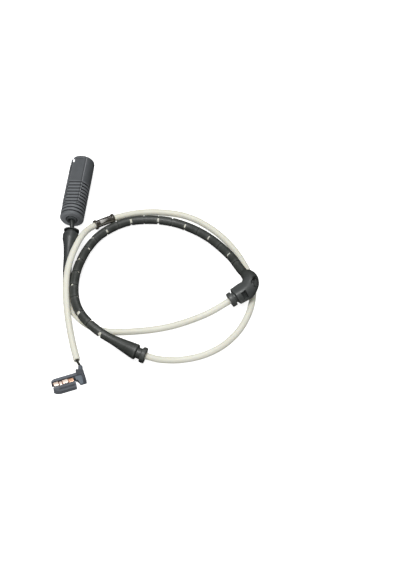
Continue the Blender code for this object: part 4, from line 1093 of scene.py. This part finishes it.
# long flat that widens towards one end
half_way = Vector((-0.12, -0.36, 0.92))
n0 = (half_way - t * half_way.dot(t)).normalized()
e0 = t.cross(n0).normalized()
bm = bmesh.new()
prism(bm, at(*RUN.pos(K0)), t, n0, e0, [(2.2, 2.36), (10.6, 2.66), (10.6, 5.0), (2.2, 5.0)], -2.4, 2.4)
combine(clip, finish(bm, "tool"), "DIFFERENCE")
k_o = at(*RUN.pos(K0))


def glint(s):
    q, e = s.along(k_o, t), s.along(k_o, e0)
    wide = s.calc("MULTIPLY_ADD", q, 0.2, -0.55)
    inside = s.span(s.calc("SUBTRACT", s.calc("ABSOLUTE", s.calc("SUBTRACT", e, 0.2)), wide), 1.0, 0.0, -0.12, 0.12)
    inside = s.calc("MULTIPLY", inside, s.span(q, 0.25, 1.0, 5.5, 9.0))
    return s.calc("MULTIPLY", s.calc("MULTIPLY", inside, s.band(q, 4.8, 10.4, 0.4)), s.span(s.along(k_o, n0), 0.0, 1.0, 1.9, 2.2))


retouch(M_CLIP, (206, 205, 200), 0.72, glint)
soften(clip, 32)
give(clip, "cable_clip", slot="clip_plastic")

# ------------------------------------------------------------------------ head
HY = math.radians(HEAD_YAW)
H_X = Vector((math.cos(HY), math.sin(HY), 0))
H_Y = Vector((-math.sin(HY), math.cos(HY), 0))
H_Z = Vector((0, 0, 1))
H_O = at(HEAD_O[0], HEAD_O[1], 0.0)


def head_solid(outline, z0, z1):
    bm = bmesh.new()
    prism(bm, H_O, H_X, H_Y, H_Z, outline, z0, z1)
    return finish(bm, "head_tool")


def head_cut(outline, u0, u1):
    """A (v, z) outline pulled along the head."""
    bm = bmesh.new()
    prism(bm, H_O, H_Y, H_Z, H_X, outline, u0, u1)
    return finish(bm, "head_tool")


head = head_solid([(16.9, -1.7), (17.9, -4.4), (18.2, -4.6), (22.0, -4.6), (22.0, 2.2), (17.6, 4.0), (17.2, 3.2)], 0.0, HEAD_H)
head.name = "sensing_head"
head.data.materials.append(M_HEAD)
# sloped facet at the front of the block
combine(head, head_cut([(-0.5, 5.7), (-0.5, 7.4), (-6.0, 7.4), (-6.0, 0.75)], 15.0, 19.9), "DIFFERENCE")
# chamfer down the block's end, wider towards the front
bm = bmesh.new()
ends = []
for v, tri in ((2.6, ((21.75, 6.9), (22.4, 6.9), (22.4, 6.2))), (-5.0, ((20.4, 6.9), (22.6, 6.9), (22.6, 3.6)))):
    ends.append([bm.verts.new(H_O + (H_X * x + H_Y * v + H_Z * z) * MM) for x, z in tri])
bm.faces.new(ends[0])
bm.faces.new(list(reversed(ends[1])))
bridge(bm, ends[0], ends[1])
combine(head, finish(bm, "head_tool"), "DIFFERENCE")
rail = [(18.0, -0.2), (18.0, 1.75), (3.4, 1.7), (2.5, 1.62), (1.7, 1.38), (0.95, 0.95), (0.55, 0.5), (0.45, 0.2), (0.65, -0.05), (1.4, -0.2)]
combine(head, head_solid(rail, 0.35, 6.3), "UNION")
combine(head, head_solid([(1.6, -5.9), (14.7, -5.9), (14.7, 0.3), (1.6, 0.3)], 0.35, 1.9), "UNION")
# foot below the facet
combine(head, head_cut([(-0.2, 0.35), (-0.2, 5.7), (-0.5, 5.7), (-2.2, 4.17), (-1.6, 0.35)], 15.9, 17.6), "UNION")
combine(head, head_solid([(14.0, -0.8), (17.5, -0.8), (17.5, 0.5), (14.0, 0.5)], 0.45, 5.0), "UNION")
# jaw with a broken front edge and fine ridges along it
jaw_line = [(0.5, -4.6), (0.75, -4.15), (1.3, -3.75), (14.8, -3.75), (15.1, -4.0), (15.1, -6.4), (14.8, -6.6), (4.8, -6.6),
            (3.6, -6.45), (2.6, -6.15), (1.75, -5.75), (1.15, -5.3), (0.72, -4.95)]
jaw = head_solid(jaw_line, 0.0, 6.0)
combine(jaw, head_cut([(-4.57, 6.5), (-7.2, 6.5), (-7.2, 2.48)], -1.0, 16.0), "DIFFERENCE")
combine(jaw, head_cut([(-4.75, 6.1), (-4.35, 5.72), (-4.15, 6.1)], 4.4, 14.2), "DIFFERENCE")
combine(jaw, head_cut([(-5.95, 4.75), (-5.4, 4.6), (-5.55, 5.2)], 4.4, 14.2), "DIFFERENCE")
combine(jaw, head_cut([(-6.8, 2.9), (-6.35, 2.55), (-6.8, 2.2)], 4.9, 14.4), "DIFFERENCE")
combine(head, jaw, "UNION")
N_A = H_O + (H_X * 19.9 + H_Y * 2.0 + H_Z * 3.7) * MM
N_B = at(*RUN.pos(AT["head_neck"]))
n_dir = (N_B - N_A).normalized()
n_side, n_up = frame_at(n_dir)
neck_len = (N_B - N_A).length / MM
bm = bmesh.new()
prof = [(0.0, 1.7), (neck_len - 0.5, 1.44), (neck_len - 0.2, 1.42), (neck_len, 1.34)]
rws = [ring(bm, N_A + n_dir * (s * MM), n_side, n_up, r * MM, 28) for s, r in prof]
for p, q in zip(rws, rws[1:]):
    bridge(bm, p, q)
bm.faces.new(rws[0])
bm.faces.new(list(reversed(rws[-1])))
combine(head, finish(bm, "tool"), "UNION")


def free_tube(name, pts, radius, sides, mat):
    bm = bmesh.new()
    W = [H_O + (H_X * x + H_Y * y + H_Z * z) * MM for x, y, z in pts]
    rws = []
    for i, p in enumerate(W):
        t = (W[min(i + 1, len(W) - 1)] - W[max(i - 1, 0)]).normalized()
        s_, u_ = frame_at(t)
        rws.append(ring(bm, p, s_, u_, radius * MM, sides))
    for p, q in zip(rws, rws[1:]):
        bridge(bm, p, q)
    bm.faces.new(rws[0])
    bm.faces.new(list(reversed(rws[-1])))
    return finish(bm, name, mat)


neck_pts = []
for s_ in spread(AT["head_neck"] - 1.5, AT["wire_end"], 1.2):
    p = RUN.pos(s_)
    d = at(*p) - H_O
    neck_pts.append((d.dot(H_X) / MM, d.dot(H_Y) / MM, p.z))
last = neck_pts[-1]
combine(head, free_tube("tool", neck_pts + [(last[0], last[1] - 0.45, last[2])], WIRE_R + 0.3, 20, None), "DIFFERENCE")
loop = [(last[0], last[1] - 0.85, last[2]), (last[0] - 0.5, last[1] - 1.9, 3.7), (last[0] - 1.7, last[1] - 2.6, 3.5)]
loop += [(17.0, 0.77, 3.4), (12.0, 0.76, 3.4), (7.0, 0.75, 3.4), (3.4, 0.74, 3.4)]
chan = [(last[0], last[1] - 0.2, last[2])] + loop[1:-1] + [(3.0, 0.74, 3.4)]
combine(head, free_tube("tool", chan, 0.58, 12, None), "DIFFERENCE")
rounded(head, 0.16, 2, 32)
soften(head, 30)
give(head, "sensor_head", slot="head_plastic")
lp = soften(free_tube("wear_loop_wire", loop, 0.24, 14, M_LOOP))
give(lp, "wear_loop", slot="loop_copper")

# wavy strip that lies across the head's slot
KNOTS = ((1.2, 5.7), (1.7, 6.02), (4.3, 6.02), (5.3, 5.2), (6.7, 5.2), (7.6, 6.05), (10.4, 6.05), (11.4, 5.3), (14.3, 5.3))


def wave(x):
    for (a, za), (b, zb) in zip(KNOTS, KNOTS[1:]):
        if x <= b:
            return za + (zb - za) * ease((x - a) / (b - a))
    return KNOTS[-1][1]


SP_A, SP_B = 1.2, 14.3
bm = bmesh.new()
n = 150
rows = []
for k in range(n + 1):
    x = SP_A + (SP_B - SP_A) * k / n
    z = wave(x)
    dz = (wave(min(SP_B, x + 0.02)) - wave(max(SP_A, x - 0.02))) / 0.04
    nn = Vector((-dz, 0, 1)).normalized()
    cut = 1.0 if x > 1.9 else 0.55 + 0.45 * ease((x - 1.0) / 0.9)
    y0 = -0.85 - 2.62 * cut
    quad = []
    for y, sg in ((y0, -0.7), (y0 + 0.1, -1), (-0.95, -1), (-0.85, -0.7), (-0.85, 0.7), (-0.95, 1), (y0 + 0.1, 1), (y0, 0.7)):
        quad.append(bm.verts.new(H_O + (H_X * (x + nn.x * 0.17 * sg) + H_Y * y + H_Z * (z + nn.z * 0.17 * sg)) * MM))
    rows.append(quad)
for p, q in zip(rows, rows[1:]):
    bridge(bm, p, q)
bm.faces.new(rows[0])
bm.faces.new(list(reversed(rows[-1])))
spring = soften(finish(bm, "wavy_contact_strip", M_SPRING), 50)
give(spring, "contact_spring", slot="spring_copper")

# --------------------------------------------------------------- floor, lights
me = bpy.data.meshes.new("floor")
bm = bmesh.new()
q = [bm.verts.new((x, y, -0.00002)) for x, y in ((-3, -3), (3, -3), (3, 4), (-3, 4))]
bm.faces.new(q)
bm.to_mesh(me)
bm.free()
floor = link("floor", me)
fm = bpy.data.materials.new("floor_white")
fm.use_nodes = True
ft = fm.node_tree
fb = ft.nodes["Principled BSDF"]
fb.inputs["Base Color"].default_value = (0.92, 0.92, 0.92, 1)
fb.inputs["Roughness"].default_value = 0.9
fb.inputs["Specular IOR Level"].default_value = 0.1
fb.inputs["Emission Color"].default_value = (1, 1, 1, 1)
fb.inputs["Emission Strength"].default_value = 0.72
me.materials.append(fm)
floor.visible_glossy = False
floor.visible_diffuse = False

world = bpy.data.worlds.new("world")
bpy.context.scene.world = world
world.use_nodes = True
bg = world.node_tree.nodes["Background"]
bg.inputs["Color"].default_value = (1.0, 1.0, 1.0, 1)
wc = world.node_tree.nodes.new("ShaderNodeTexCoord")
wx = world.node_tree.nodes.new("ShaderNodeSeparateXYZ")
wr = world.node_tree.nodes.new("ShaderNodeMapRange")
for key, v in (("From Min", -0.25), ("From Max", 0.25), ("To Min", 0.66), ("To Max", 0.34)):
    wr.inputs[key].default_value = v
world.node_tree.links.new(wc.outputs["Generated"], wx.inputs["Vector"])
world.node_tree.links.new(wx.outputs["Z"], wr.inputs["Value"])
world.node_tree.links.new(wr.outputs["Result"], bg.inputs["Strength"])
world.cycles_visibility.glossy = False


def softbox(name, az, el, dist, size, watts, aim=(0.0, 0.0, 0.0), colour=(1, 1, 1)):
    ld = bpy.data.lights.new(name, "AREA")
    ld.shape = "RECTANGLE"
    ld.size, ld.size_y = size
    ld.energy = watts
    ld.color = colour
    lo = bpy.data.objects.new(name, ld)
    bpy.context.scene.collection.objects.link(lo)
    a, e = math.radians(az), math.radians(el)
    p = Vector(aim) + Vector((math.sin(a) * math.cos(e), -math.cos(a) * math.cos(e), math.sin(e))) * dist
    lo.location = p
    lo.rotation_euler = (Vector(aim) - p).to_track_quat("-Z", "Y").to_euler()
    return lo


softbox("key", -62, 80, 1.2, (0.5, 0.5), 8.2)
softbox("front", -14, 46, 1.5, (0.6, 0.4), 2.6)
softbox("back", 172, 58, 1.3, (0.5, 0.3), 1.8)

sc = bpy.context.scene
sc.view_settings.view_transform = "Standard"
sc.view_settings.look = "None"
